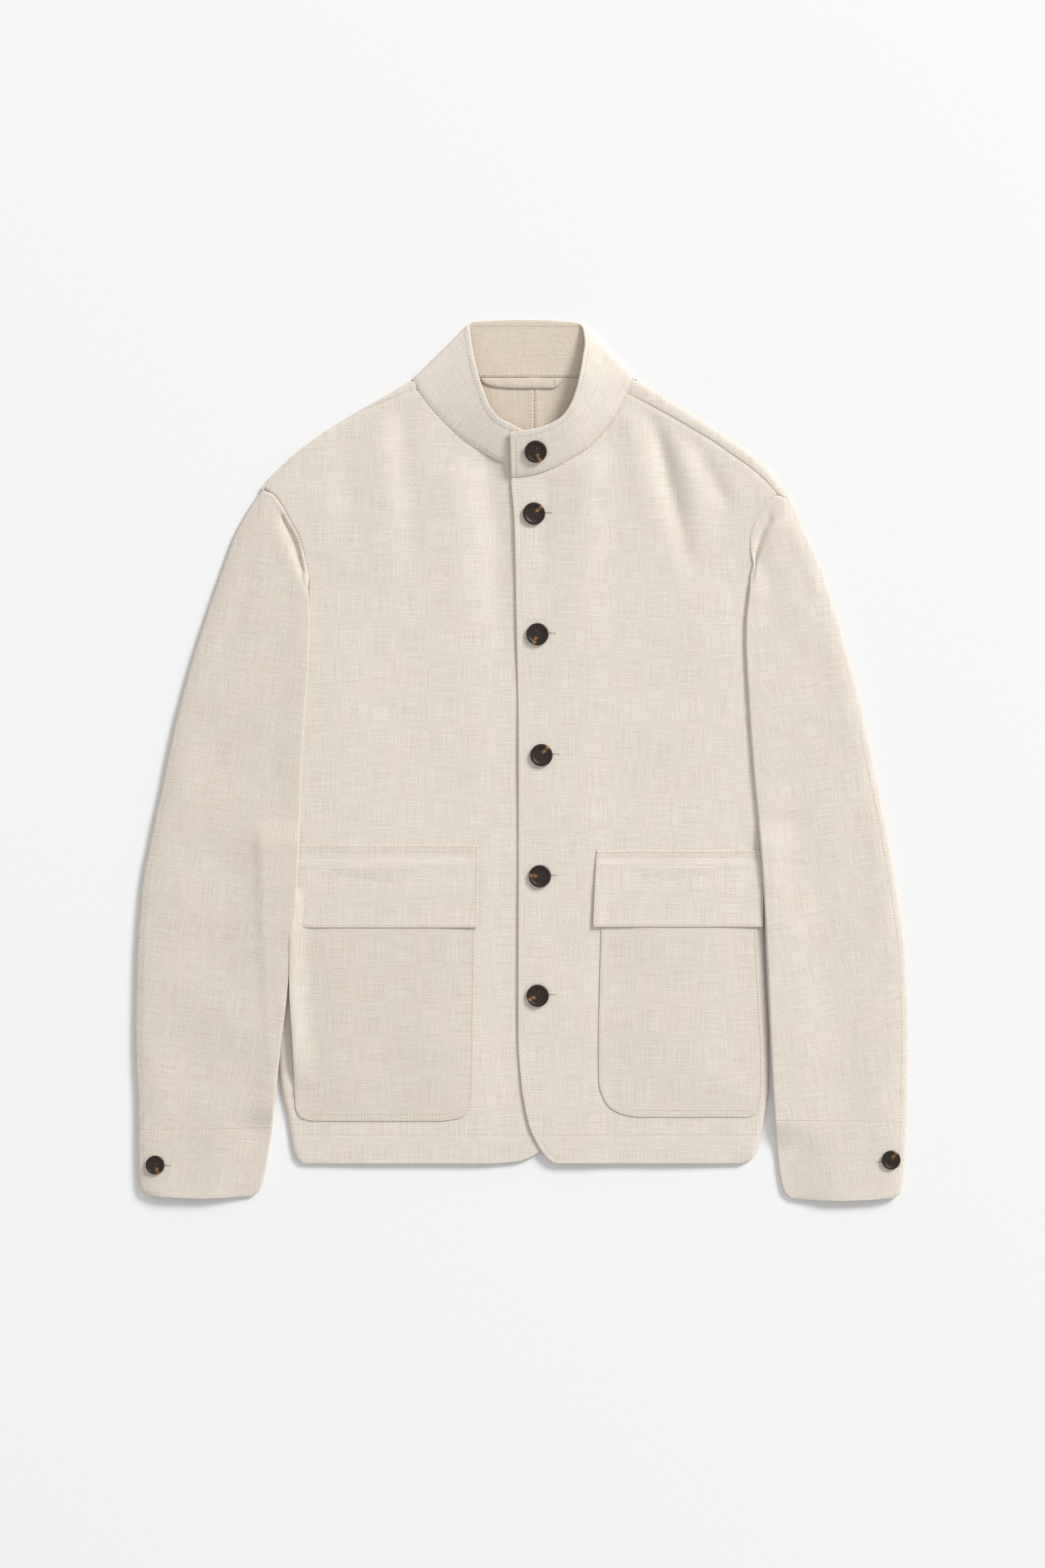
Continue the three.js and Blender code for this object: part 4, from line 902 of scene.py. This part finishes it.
def linen(name, light, middle, dark, inside):
    """Plain-weave linen, spun unevenly and washed: slubs both ways, dry and matt, with a soft
    bloom at grazing angles. Threads are 0.55 mm apart and drawn 1.1 mm apart so that they show."""
    material, tree = new_material(name)
    place = add(tree, "ShaderNodeAttribute", attribute_name="grain").outputs["Vector"]
    # Each piece's share of painted shade, standing in for the light's falloff
    painted_falloff = add(tree, "ShaderNodeAttribute", attribute_name="painted_falloff").outputs["Fac"]
    seam = add(tree, "ShaderNodeAttribute", attribute_name="seam").outputs["Fac"]
    across, along, inner_side = add(tree, "ShaderNodeSeparateXYZ", {0: place}).outputs
    noise = {}
    for pattern, (fineness, detail) in LINEN_NOISE.items():
        drawn = add(tree, "ShaderNodeVectorMath", {0: place, 1: fineness}, operation="MULTIPLY")
        inputs = {"Vector": drawn, "Scale": 1.0, "Detail": detail}
        noise[pattern] = add(tree, "ShaderNodeTexNoise", inputs)
    both = {0: noise["warp"], 1: noise["weft"]}
    streaks = add(tree, "ShaderNodeMath", both, operation="ADD")
    both = {0: noise["warp_fine"], 1: noise["weft_fine"]}
    fine = add(tree, "ShaderNodeMath", both, operation="ADD")

    # Slubs and threads make the tone, from dark to light
    tone = -0.96
    for pattern, weight in ((streaks, 0.85), (fine, 0.55), (noise["patch"], 0.12)):
        inputs = {0: pattern, 1: weight, 2: tone}
        tone = add(tree, "ShaderNodeMath", inputs, operation="MULTIPLY_ADD")
    ramp = add(tree, "ShaderNodeValToRGB", {0: tone})
    ramp.color_ramp.elements[0].position = 0.12
    ramp.color_ramp.elements[0].color = srgb(dark)
    ramp.color_ramp.elements[1].position = 0.9
    ramp.color_ramp.elements[1].color = srgb(light)
    ramp.color_ramp.elements.new(0.5).color = srgb(middle)

    # Broad cool and warm clouds tint it; painted shade darkens some pieces for the light's falloff, and
    # a painted warm shade tints the inner side
    inputs = {0: noise["cloud"], 1: 1.6, 2: -0.45}
    cloud = add(tree, "ShaderNodeMath", inputs, operation="MULTIPLY_ADD")
    inputs = {0: cloud, 6: srgb("fafdf9"), 7: srgb("fffaf6")}
    warmth = add(tree, "ShaderNodeMix", inputs, data_type="RGBA")
    colour = ramp
    for share, tint in ((1.0, warmth), (painted_falloff, srgb("f5f4f2")), (inner_side, srgb(inside))):
        inputs = {0: share, 6: colour, 7: tint}
        colour = add(tree, "ShaderNodeMix", inputs, data_type="RGBA", blend_type="MULTIPLY")

    # Cloth is drawn in along each seam, and its ditch is darkened a little, patchily, with painted
    # shade
    inputs = {
        "Value": add(tree, "ShaderNodeMath", {0: seam}, operation="ABSOLUTE"),
        "From Min": 0.0,
        "From Max": 1.3,
        "To Min": 1.0,
        "To Max": 0.0,
    }
    ditch = add(tree, "ShaderNodeMapRange", inputs, interpolation_type="SMOOTHSTEP")
    inputs = {0: noise["patch"], 1: 0.06, 2: 0.06}
    uneven = add(tree, "ShaderNodeMath", inputs, operation="MULTIPLY_ADD")
    seam_shade = add(tree, "ShaderNodeMath", {0: ditch, 1: uneven}, operation="MULTIPLY")
    inputs = {0: seam_shade, 6: colour, 7: srgb("cdbfae")}
    colour = add(tree, "ShaderNodeMix", inputs, data_type="RGBA")

    # Relief of the weave, with the seam's ditch
    waves = []
    for way in (across, along):
        angle = add(tree, "ShaderNodeMath", {0: way, 1: THREAD_WAVE}, operation="MULTIPLY")
        waves.append(add(tree, "ShaderNodeMath", {0: angle}, operation="SINE"))
    weave = add(tree, "ShaderNodeMath", {0: waves[0], 1: waves[1]}, operation="MULTIPLY")
    relief = streaks
    for pattern, weight in ((weave, 0.22), (fine, 0.8), (ditch, -0.7)):
        inputs = {0: pattern, 1: weight, 2: relief}
        relief = add(tree, "ShaderNodeMath", inputs, operation="MULTIPLY_ADD")
    inputs = {"Strength": 0.45, "Distance": 0.3 * MM, "Height": relief}
    look = {
        "Base Color": colour,
        "Normal": add(tree, "ShaderNodeBump", inputs),
        "Roughness": add(tree, "ShaderNodeMath", {0: fine, 1: 0.08, 2: 0.8}, operation="MULTIPLY_ADD"),
        "IOR": 1.45,
        "Specular IOR Level": 0.25,
        "Sheen Weight": 0.12,
        "Sheen Roughness": 0.55,
        "Sheen Tint": srgb("f6efe4"),
    }
    shader = add(tree, "ShaderNodeBsdfPrincipled", look)
    add(tree, "ShaderNodeOutputMaterial", {"Surface": shader})
    return material


def sewing_thread(name, dark, light):
    """Spun polyester sewing thread: even, matt, with a fine twist."""
    material, tree = new_material(name)
    place = add(tree, "ShaderNodeTexCoord").outputs["Object"]
    twist = add(tree, "ShaderNodeTexNoise", {"Vector": place, "Scale": 1.5 / MM, "Detail": 1.0})
    inputs = {0: twist, 6: srgb(dark), 7: srgb(light)}
    look = {
        "Base Color": add(tree, "ShaderNodeMix", inputs, data_type="RGBA"),
        "Normal": add(tree, "ShaderNodeBump", {"Strength": 0.4, "Distance": 0.1 * MM, "Height": twist}),
        "Roughness": 0.75,
    }
    shader = add(tree, "ShaderNodeBsdfPrincipled", look)
    add(tree, "ShaderNodeOutputMaterial", {"Surface": shader})
    return material


def horn(name):
    """Dark horn-look polyester, turned and tumbled to a satin shine: near-black brown, with one
    amber streak from the middle to the rim along local X."""
    material, tree = new_material(name)
    place = add(tree, "ShaderNodeTexCoord").outputs["Object"]
    inputs = {0: place, 1: [1 / MM] * 3}
    in_mm = add(tree, "ShaderNodeVectorMath", inputs, operation="MULTIPLY")
    outward, sideways, _ = add(tree, "ShaderNodeSeparateXYZ", {0: in_mm}).outputs
    inputs = {"Vector": in_mm, "Scale": 0.35, "Detail": 5.0, "Roughness": 0.65}
    swirl = add(tree, "ShaderNodeTexNoise", inputs)
    grain = add(tree, "ShaderNodeTexNoise", {"Vector": in_mm, "Scale": 1.6, "Detail": 3.0})

    # The streak widens toward the rim, wanders with the swirl and is broken by the grain
    swirled = add(tree, "ShaderNodeMath", {0: swirl, 1: 0.5}, operation="SUBTRACT")
    inputs = {0: swirled, 1: 5.0, 2: sideways}
    off_axis = add(tree, "ShaderNodeMath", inputs, operation="MULTIPLY_ADD")
    off_axis = add(tree, "ShaderNodeMath", {0: off_axis}, operation="ABSOLUTE")
    inputs = {0: outward, 1: 0.13, 2: 0.75}
    half_width = add(tree, "ShaderNodeMath", inputs, operation="MULTIPLY_ADD")
    within = add(tree, "ShaderNodeMath", {0: half_width, 1: off_axis}, operation="SUBTRACT")
    streak = 1.0
    for value, low, high in ((within, -0.5, 0.9), (outward, 1.2, 3.4), (grain, 0.36, 0.6)):
        inputs = {"Value": value, "From Min": low, "From Max": high}
        share = add(tree, "ShaderNodeMapRange", inputs)
        streak = add(tree, "ShaderNodeMath", {0: share, 1: streak}, operation="MULTIPLY")
    inputs = {0: swirl, 6: srgb("17110e"), 7: srgb("3a2b22")}
    dark = add(tree, "ShaderNodeMix", inputs, data_type="RGBA")
    inputs = {0: grain, 6: srgb("8a5a2c"), 7: srgb("c9955a")}
    amber = add(tree, "ShaderNodeMix", inputs, data_type="RGBA")
    inputs = {0: streak, 6: dark, 7: amber}
    relief = {"Strength": 0.15, "Distance": 0.1 * MM, "Height": grain}
    gloss = {0: grain, 1: 0.16, 2: 0.34}
    look = {
        "Base Color": add(tree, "ShaderNodeMix", inputs, data_type="RGBA"),
        "Normal": add(tree, "ShaderNodeBump", relief),
        "Roughness": add(tree, "ShaderNodeMath", gloss, operation="MULTIPLY_ADD"),
        "IOR": 1.55,
        "Specular IOR Level": 0.3,
    }
    shader = add(tree, "ShaderNodeBsdfPrincipled", look)
    add(tree, "ShaderNodeOutputMaterial", {"Surface": shader})
    return material


def mottled(name, fineness, dark, light, look):
    """A plain matt surface, uneven between two tones, with so many waves a millimetre."""
    material, tree = new_material(name)
    place = add(tree, "ShaderNodeTexCoord").outputs["Object"]
    noise = add(tree, "ShaderNodeTexNoise", {"Vector": place, "Scale": fineness / MM})
    inputs = {0: noise, 6: srgb(dark), 7: srgb(light)}
    shade = add(tree, "ShaderNodeMix", inputs, data_type="RGBA")
    shader = add(tree, "ShaderNodeBsdfPrincipled", {"Base Color": shade, **look})
    add(tree, "ShaderNodeOutputMaterial", {"Surface": shader})
    return material


# The last colour is a painted warm shade for the inner side of the cloth
outer_linen = linen("linen_oatmeal_plain_weave", "f6eee6", "e8ded5", "d7cbbf", "f7f1ea")
thread = sewing_thread("thread_ecru_polyester", "dacfbf", "e9e0d3")
dark_thread = sewing_thread("thread_dark_polyester", "2c211b", "4a382c")
horn_look = horn("polyester_horn_look_satin")
# The cut of a buttonhole: painted shade of its opening, a dark strip mottled like the cut fibres
slit_shade = mottled("buttonhole_cut_painted_shade", 0.9, "6b5a4a", "8d7b69", {"Roughness": 0.95})
# Matt white studio paper with the faintest tooth
matt_paper = {"Roughness": 0.9, "Specular IOR Level": 0.1}
paper = mottled("paper_white", 0.22, "f5f5f5", "f8f8f8", matt_paper)


def dress(piece, material, slot_name, *nodes):
    """Gives a piece its material and body, and hides the CAD nodes it stands for; slot_name is not
    used.
    """
    piece.data.materials.append(material)
    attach(piece, "root")
    if nodes:
        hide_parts(*nodes)
    return piece


def on_surface(name, plan):
    """Points of a piece's upper surface under plan points, with its normals."""
    tree = surfaces[name]
    points, normals = [], []
    for x, y in plan:
        hit, normal, _, _ = tree.ray_cast(Vector((x, y, ABOVE_ALL)), Vector((0, 0, -1)))
        if hit is not None:
            if normal.z < 0:
                normal = -normal
            points.append(hit)
            normals.append(normal)
    return np.array(points), np.array(normals)


def even_places(line, pitch):
    """Plan points at an even pitch along a line of points."""
    line = np.asarray(line, float)
    run = distance_along(line)
    at = np.arange(pitch / 2, run[-1], pitch)
    return np.column_stack([np.interp(at, run, line[:, k]) for k in range(line.shape[1])])


def beside(line, distance):
    """Plan line that runs beside another, to its left for a positive distance."""
    line = np.asarray(line, float)
    way = np.gradient(line, axis=0)
    way = way / np.linalg.norm(way, axis=1, keepdims=True)
    return line + distance * np.column_stack([-way[:, 1], way[:, 0]])


SIDES = 5
# A stitch's rings: place along it, girth and lift as shares of half its length and its radius
RINGS = (
    (-1.0, 0.35, -0.7),
    (-0.62, 0.9, 0.4),
    (0.0, 1.0, 0.8),
    (0.62, 0.9, 0.4),
    (1.0, 0.35, -0.7),
)


def tube_faces(rings, sides, start=0):
    """Faces of a closed tube whose rings follow one another in a list of points."""
    faces = []
    for ring in range(start, start + (rings - 1) * sides, sides):
        for k in range(sides):
            a, b = ring + k, ring + (k + 1) % sides
            faces.append((a, b, b + sides, a + sides))
    last = start + (rings - 1) * sides
    faces.append(tuple(range(start, start + sides))[::-1])
    faces.append(tuple(range(last, last + sides)))
    return faces


class Sewing:
    """Thread on one piece of the garment, gathered stitch by stitch into one mesh."""

    def __init__(self, name, surface):
        self.name, self.surface = name, surface
        self.points, self.faces = [], []

    def stitch(self, middle, way, normal, length, radius):
        across = np.cross(normal, way)
        start = sum(len(p) for p in self.points)
        rings = []
        for place, girth, lift in RINGS:
            centre = middle + way * (place * length / 2) + normal * (lift * radius)
            for k in range(SIDES):
                angle = 2 * math.pi * k / SIDES
                way_out = across * math.cos(angle) + normal * math.sin(angle)
                rings.append(centre + radius * girth * way_out)
        self.points.append(np.array(rings))
        self.faces += tube_faces(len(RINGS), SIDES, start)

    def run(self, line, pitch=STITCH_PITCH, radius=THREAD_RADIUS, fill=0.74):
        points, normals = on_surface(self.surface, even_places(line, pitch))
        if len(points) > 1:
            self.follow(points, normals, pitch, radius, fill)

    def follow(self, points, normals, pitch=STITCH_PITCH, radius=THREAD_RADIUS, fill=0.74):
        ways = np.gradient(points, axis=0)
        gaps = np.linalg.norm(ways, axis=1)
        for middle, way, normal, gap in zip(points, ways, normals, gaps):
            if 0.3 * pitch < gap < 1.8 * pitch:
                way = way - normal * np.dot(way, normal)
                way = way / np.linalg.norm(way)
                self.stitch(middle, way, normal, pitch * fill, radius)

    def tack(self, x, y, length):
        """Bar tack: short stitches packed one above the other."""
        count = max(int(length / TACK_PITCH), 3)
        for k in range(count):
            step = (k / (count - 1) - 0.5) * length
            points, normals = on_surface(self.surface, [(x, y + step)])
            if len(points):
                way = np.array((1.0, 0.15, 0.0))
                way = way - normals[0] * np.dot(way, normals[0])
                way = way / np.linalg.norm(way)
                self.stitch(points[0], way, normals[0], TACK_LENGTH, TACK_RADIUS)

    def done(self, material):
        piece = make_mesh(self.name, np.concatenate(self.points), self.faces)
        return dress(piece, material, "linen")


linen_sleeve = {}
for side, word in ((LEFT, "left"), (RIGHT, "right")):
    back = back_panel(side, f"linen_back_{word}")
    dress(back, outer_linen, "linen", f"back_{word}")
    front = front_panel(side, f"linen_front_{word}")
    dress(front, outer_linen, "linen", f"front_{word}")
    arm = sleeve(side, f"linen_sleeve_{word}")
    linen_sleeve[word] = dress(arm, outer_linen, "linen", f"sleeve_{word}")
linen_collar = dress(collar("linen_collar"), outer_linen, "linen", "collar")
linen_loop = dress(hanger_loop("linen_hanger_loop"), outer_linen, "linen", "hanger_loop")
linen_pockets = {
    name: dress(pocket_piece(name), outer_linen, "linen", name) for name in POCKETS
}

# Painted shade: these pieces are darkened by these shares, standing in for the key light falling off
# across the garment
PAINTED_FALLOFF_SHARES = (
    (linen_sleeve["right"], 0.75),
    (linen_sleeve["left"], 0.15),
    (linen_pockets["pocket_right"], 0.65),
    (linen_pockets["flap_right"], 0.2),
    (linen_pockets["pocket_left"], 0.3),
)
for piece, shade in PAINTED_FALLOFF_SHARES:
    put_attribute(piece, "painted_falloff", "FLOAT", [shade] * len(piece.data.vertices))

# Sewing, piece by piece
for side, word in ((LEFT, "left"), (RIGHT, "right")):
    sign = side["sign"]
    flip = np.array([sign, 1.0])
    front_sewing = Sewing(f"stitches_front_{word}", f"linen_front_{word}")
    edge = front_edge(side)
    if sign > 0:
        front_sewing.run(beside(edge, -TOPSTITCH))
    hem_start = inner_x(side, HEM_Y) + (TOPSTITCH if sign > 0 else 1.0)
    front_sewing.run(np.array([(hem_start, HEM_Y), (outer_x(side, HEM_Y) - 2, HEM_Y)]) * flip)
    armhole = seam_line(side)[: side["corner"]]
    armhole = armhole[armhole[:, 1] < side["outer"][side["corner"], 0] + 0.1]
    front_sewing.run(beside(armhole, EDGE_STITCH) * flip)
    front_sewing.done(thread)

    back_sewing = Sewing(f"stitches_back_{word}", f"linen_back_{word}")
    shoulder = side["outer"][side["corner"] :, [1, 0]]
    back_sewing.run(beside(shoulder, -2.2) * flip)
    centre = BACK_SEAM_X + 0.7 * sign
    back_sewing.run(np.array([(centre, 262), (centre, 334)]))
    back_sewing.done(thread)

    arm_sewing = Sewing(f"stitches_sleeve_{word}", f"linen_sleeve_{word}")
    sections = side["sleeve"]
    levels = np.arange(-372, 30, 4.0)
    outer_line = curve_through(sections[::-1, 3], sections[::-1, 2], levels)
    arm_sewing.run(beside(np.column_stack([outer_line, levels]), TOPSTITCH) * flip)
    hem = side["sleeve_hem"]
    hem_inner = np.interp(hem, sections[::-1, 1], sections[::-1, 0])
    hem_outer = np.interp(hem, sections[::-1, 3], sections[::-1, 2])
    arm_sewing.run(np.array([(hem_inner + 1.5, hem + 1), (hem_outer - 1.5, hem - 1)]) * flip)
    arm_sewing.done(thread)

for name, (side, layer, rows) in POCKETS.items():
    flip = np.array([side["sign"], 1.0])
    outline = pocket_outline(rows)
    inner_edge, outer_edge = outline[:, [1, 0]], outline[:, [2, 0]]
    sewing = Sewing(f"stitches_{name}", f"linen_{name}")
    low = outline[0, 0]
    left_x, right_x = outline[0, 1], outline[0, 2]
    sewing.run(beside(inner_edge[2:], -EDGE_STITCH) * flip)
    sewing.run(beside(outer_edge[2:], EDGE_STITCH) * flip)
    sewing.run(np.array([(left_x, low + EDGE_STITCH), (right_x, low + EDGE_STITCH)]) * flip)
    if layer == 1:
        hem_y = low + POCKET_HEM
        sewing.run(np.array([(left_x - 6, hem_y), (right_x + 3, hem_y)]) * flip)
    else:
        high = outline[-1, 0]
        for depth in FLAP_ROWS:
            sewing.run(np.array([(left_x + 3, high - depth), (right_x - 2, high - depth)]) * flip)
    if name == "pocket_right":
        sewing.tack(-203.3, -297.9, 6.0)
    if name == "pocket_left":
        sewing.tack(214.0, -200.7, 5.0)
    sewing.done(thread)


def collar_stitches(sewing, runs, shares):
    """Stitches through places on the collar, on whichever of its sides is up."""
    middle, _ = collar_points(runs, shares)
    length = distance_along(middle)
    at = np.arange(STITCH_PITCH / 2, length[-1], STITCH_PITCH)
    runs, shares = np.interp(at, length, runs), np.interp(at, length, shares)
    middle, _ = collar_points(runs, shares)
    round_it = collar_points(runs + 0.5, shares)[0] - middle
    up_it = collar_points(runs, shares - 0.01)[0] - middle
    normal = np.cross(up_it, round_it)
    normal = normal / np.linalg.norm(normal, axis=1, keepdims=True)
    normal = normal * np.sign(normal[:, 2:])
    lying = np.abs(normal[:, 2]) > 0.25
    seat = middle + normal * (COLLAR_WALL / 2 + 0.12)
    sewing.follow(seat[lying], normal[lying])


collar_sewing = Sewing("stitches_collar", "linen_collar")
collar_length = collar_run()[-1]
hidden_end = 34.0  # of the collar's under end, beneath the upper one
runs = np.linspace(hidden_end, collar_length - TOPSTITCH, 400)
sections = curve_through(collar_run(), COLLAR, runs)
heights = np.linalg.norm(sections[:, 3:] - sections[:, :3], axis=1)
collar_stitches(collar_sewing, runs, 1 - TOPSTITCH / heights)
collar_stitches(collar_sewing, runs, EDGE_STITCH / heights)
end_shares = np.linspace(EDGE_STITCH / heights[-1], 1 - TOPSTITCH / heights[-1], 20)
collar_stitches(collar_sewing, np.full(20, collar_length - TOPSTITCH), end_shares)
collar_sewing.done(thread)

loop_sewing = Sewing("stitches_hanger_loop", "linen_hanger_loop")
loop_x = np.linspace(-33, 33, 40)
loop_line = curve_through(LOOP_ROWS[:, 0], LOOP_ROWS[:, 1], loop_x)
loop_sewing.run(np.column_stack([loop_x, loop_line + 1.5]), pitch=2.4)
loop_sewing.tack(30.2, 340.4, 6.0)
loop_sewing.done(thread)

# Buttons: centre, radius and direction of the amber streak in degrees from the wearer's left
BUTTONS = {
    "button_collar": ("linen_collar", 12.8, 277.4, 10.0, -62),
    "button_front_1": ("linen_front_left", 11.2, 222.2, 10.0, 42),
    "button_front_2": ("linen_front_left", 14.5, 113.8, 10.0, -112),
    "button_front_3": ("linen_front_left", 18.0, 5.2, 10.0, 52),
    "button_front_4": ("linen_front_left", 16.6, -103.5, 10.0, 176),
    "button_front_5": ("linen_front_left", 14.7, -210.7, 10.0, 205),
    "button_cuff_left": ("linen_sleeve_left", 331.9, -358.2, 8.5, 58),
    "button_cuff_right": ("linen_sleeve_right", -328.7, -362.7, 8.5, -68),
}
BUTTON_PROFILE = np.array([
    (0.0, 0.0), (0.6, 0.0), (0.8, 0.04), (0.93, 0.2), (0.985, 0.4), (1.0, 0.6), (0.985, 0.8),
    (0.95, 0.93), (0.9, 0.99), (0.85, 1.0), (0.8, 0.95), (0.74, 0.84), (0.66, 0.74),
    (0.5, 0.7), (0.28, 0.69), (0.0, 0.69),
])
# Shares of a button's radius: its thickness, and the size and place of its holes
BUTTON_THICKNESS = 0.32
HOLE_RADIUS = 0.115
HOLE_OFFSET = 0.2
BUTTON_SIDES = 56
HOLE_SIDES = 16


def button_mesh(name, radius, thickness):
    """Four-hole button with a raised rim, turned from its profile; holes are cut through."""
    segments = BUTTON_SIDES
    profile = BUTTON_PROFILE * (radius, thickness)
    points = [(0.0, 0.0, profile[0, 1])]
    for r, z in profile[1:-1]:
        for k in range(segments):
            angle = 2 * math.pi * k / segments
            points.append((r * math.cos(angle), r * math.sin(angle), z))
    points.append((0.0, 0.0, profile[-1, 1]))
    faces = []
    rings = len(profile) - 2
    for k in range(segments):
        after = (k + 1) % segments
        faces.append((0, 1 + after, 1 + k))
        for r in range(rings - 1):
            low = 1 + r * segments
            faces.append((low + k, low + after, low + segments + after, low + segments + k))
        low = 1 + (rings - 1) * segments
        faces.append((low + k, low + after, len(points) - 1))
    piece = make_mesh(name, points, faces)
    drill_points, drill_faces = [], []
    hole, offset, sides = HOLE_RADIUS * radius, HOLE_OFFSET * radius, HOLE_SIDES
    for sx, sy in ((1, 1), (1, -1), (-1, 1), (-1, -1)):
        start = len(drill_points)
        for z in (-1.0, thickness + 1.0):
            for k in range(sides):
                angle = 2 * math.pi * k / sides
                x = sx * offset + hole * math.cos(angle)
                y = sy * offset + hole * math.sin(angle)
                drill_points.append((x, y, z))
        drill_faces += tube_faces(2, sides, start)
    drill = make_mesh(name + "_drill", drill_points, drill_faces)
    cut = piece.modifiers.new("holes", "BOOLEAN")
    cut.operation = "DIFFERENCE"
    cut.solver = "EXACT"
    cut.object = drill
    bpy.context.view_layer.update()
    evaluated = piece.evaluated_get(bpy.context.evaluated_depsgraph_get())
    drilled = bpy.data.meshes.new_from_object(evaluated)
    piece.modifiers.clear()
    piece.data = drilled
    bpy.data.objects.remove(drill)
    for polygon in piece.data.polygons:
        polygon.use_smooth = True
    bevel = piece.modifiers.new("eased_edges", "BEVEL")
    bevel.width = 0.12 * MM
    bevel.segments = 2
    bevel.limit_method = "ANGLE"
    bevel.angle_limit = math.radians(50)
    return piece


def button_threads(name, seat, radius, thickness):
    """Two crossed passes of dark thread through the four holes."""
    sewing = Sewing(name, None)
    offset, level = HOLE_OFFSET * radius, BUTTON_PROFILE[-1, 1] * thickness
    for sx, sy in ((1, 1), (1, -1)):
        for beside_it in THREAD_PASSES:
            way = np.array((sx, sy, 0.0)) / math.sqrt(2)
            across = np.array((-way[1], way[0], 0.0))
            middle = across * beside_it + np.array((0, 0, level + 0.1))
            reach = 2 * offset * math.sqrt(2) + 0.5
            sewing.stitch(middle, way, np.array((0.0, 0.0, 1.0)), reach, BUTTON_THREAD_RADIUS)
    piece = make_mesh(name, np.concatenate(sewing.points), sewing.faces)
    piece.matrix_world = seat
    dress(piece, dark_thread, "horn_button")


for name, (surface, x, y, radius, streak) in BUTTONS.items():
    thickness = BUTTON_THICKNESS * radius
    around = [(x + dx, y + dy) for dx, dy in ((0, 0), (5, 0), (-5, 0), (0, 5), (0, -5))]
    points, _ = on_surface(surface, around)
    normal = Vector(np.cross(points[1] - points[2], points[3] - points[4])).normalized()
    highest = max(np.dot(points - points[0], np.array(normal)))
    place = Vector(points[0]) + normal * (max(highest, 0) + BUTTON_GAP)
    turn = normal.to_track_quat("Z", "Y").to_matrix().to_4x4()
    toward = math.radians(streak)
    local_x = turn.inverted() @ Vector((math.cos(toward), math.sin(toward), 0))
    spin = Matrix.Rotation(math.atan2(local_x.y, local_x.x), 4, "Z")
    seat = Matrix.Translation(place * MM) @ turn @ spin
    piece = button_mesh("horn_" + name, radius, thickness)
    piece.matrix_world = seat
    dress(piece, horn_look, "horn_button", name)
    button_threads("thread_" + name, seat, radius, thickness)


def buttonhole(name, surface, start, end):
    """Worked buttonhole from start to end in plan: a narrow cut with a fine corded edge."""
    start, end = np.array(start, float), np.array(end, float)
    way = (end - start) / np.linalg.norm(end - start)
    side_way = np.array((-way[1], way[0]))
    sewing = Sewing(name, surface)
    for offset in (-CORD_OFFSET, CORD_OFFSET):
        line = np.array([start + side_way * offset, end + side_way * offset])
        sewing.run(line, CORD_PITCH, CORD_RADIUS, fill=0.95)
    sewing.run(np.array([end - side_way, end + side_way]), BAR_PITCH, TACK_RADIUS)
    sewing.done(thread)
    # A dark strip along the cut paints the shade in its opening
    plan = [start + (end - start) * t for t in np.linspace(0, 1, 9)]
    points, normals = on_surface(surface, plan)
    width = CUT_HALF_WIDTH * np.sin(np.pi * np.linspace(0.12, 0.95, len(points)))
    side3 = np.array((side_way[0], side_way[1], 0.0))
    strip = []
    for point, normal, half_width in zip(points, normals, width):
        for across, lift in ((-1, 0.05), (0, 0.12), (1, 0.05), (0, -0.25)):
            strip.append(point + side3 * across * half_width + normal * lift)
    dress(make_mesh(name + "_cut", strip, tube_faces(len(points), 4)), slit_shade, "linen")


for k in range(1, 6):
    _, x, y, _, _ = BUTTONS[f"button_front_{k}"]
    buttonhole(f"buttonhole_front_{k}", "linen_front_left", (x - 4, y + 0.8), (x + 16.4, y + 1.0))
buttonhole("buttonhole_cuff_left", "linen_sleeve_left", (331.9, -359.2), (318.6, -360.2))
buttonhole("buttonhole_cuff_right", "linen_sleeve_right", (-328.7, -363.2), (-314.6, -363.2))

# Pockets and flaps with the size each was cut to, in metres. The loop below only finds the front each
# lies on and uses nothing more.
POCKET_CUTS = {
    "pocket_left": (0.148, 0.225),
    "pocket_right": (0.168, 0.229),
    "flap_left": (0.149, 0.070),
    "flap_right": (0.161, 0.075),
}
for name, cut in POCKET_CUTS.items():
    front = "front_" + name.split("_")[1]

# Studio: white paper, one big soft light from the upper right and an even pale fill, in metres
FILL_STRENGTH = 0.59
KEY_PLACE = Vector((11.0, 11.1, 9.2))
KEY_SIZE = 6.0
KEY_WATTS = 2690
CAMERA_PLACE = (0.0010, -0.0207, 3.332)
bpy.ops.mesh.primitive_plane_add(size=60)
floor = bpy.context.object
floor.name = "studio_paper"
floor.data.materials.append(paper)
floor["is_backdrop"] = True

world = bpy.data.worlds.new("studio_fill")
bpy.context.scene.world = world
world.use_nodes = True
fill = world.node_tree.nodes["Background"]
fill.inputs["Color"].default_value = srgb("fefeff")
fill.inputs["Strength"].default_value = FILL_STRENGTH

light = bpy.data.lights.new("key_upper_right", "AREA")
light.shape = "DISK"
light.size = KEY_SIZE
light.energy = KEY_WATTS
light.color = srgb("fffffe")[:3]
lamp = bpy.data.objects.new("key_upper_right", light)
lamp.location = KEY_PLACE
lamp.rotation_euler = (-KEY_PLACE).to_track_quat("-Z", "Y").to_euler()
bpy.context.scene.collection.objects.link(lamp)

camera_data = bpy.data.cameras.new("overhead")
camera_data.lens = 85
camera_data.sensor_fit = "VERTICAL"
camera_data.sensor_height = 36
camera_data.sensor_width = 24
camera = bpy.data.objects.new("overhead", camera_data)
camera.location = CAMERA_PLACE
bpy.context.scene.collection.objects.link(camera)
bpy.context.scene.camera = camera
bpy.context.scene.view_settings.view_transform = "Standard"

low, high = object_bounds()
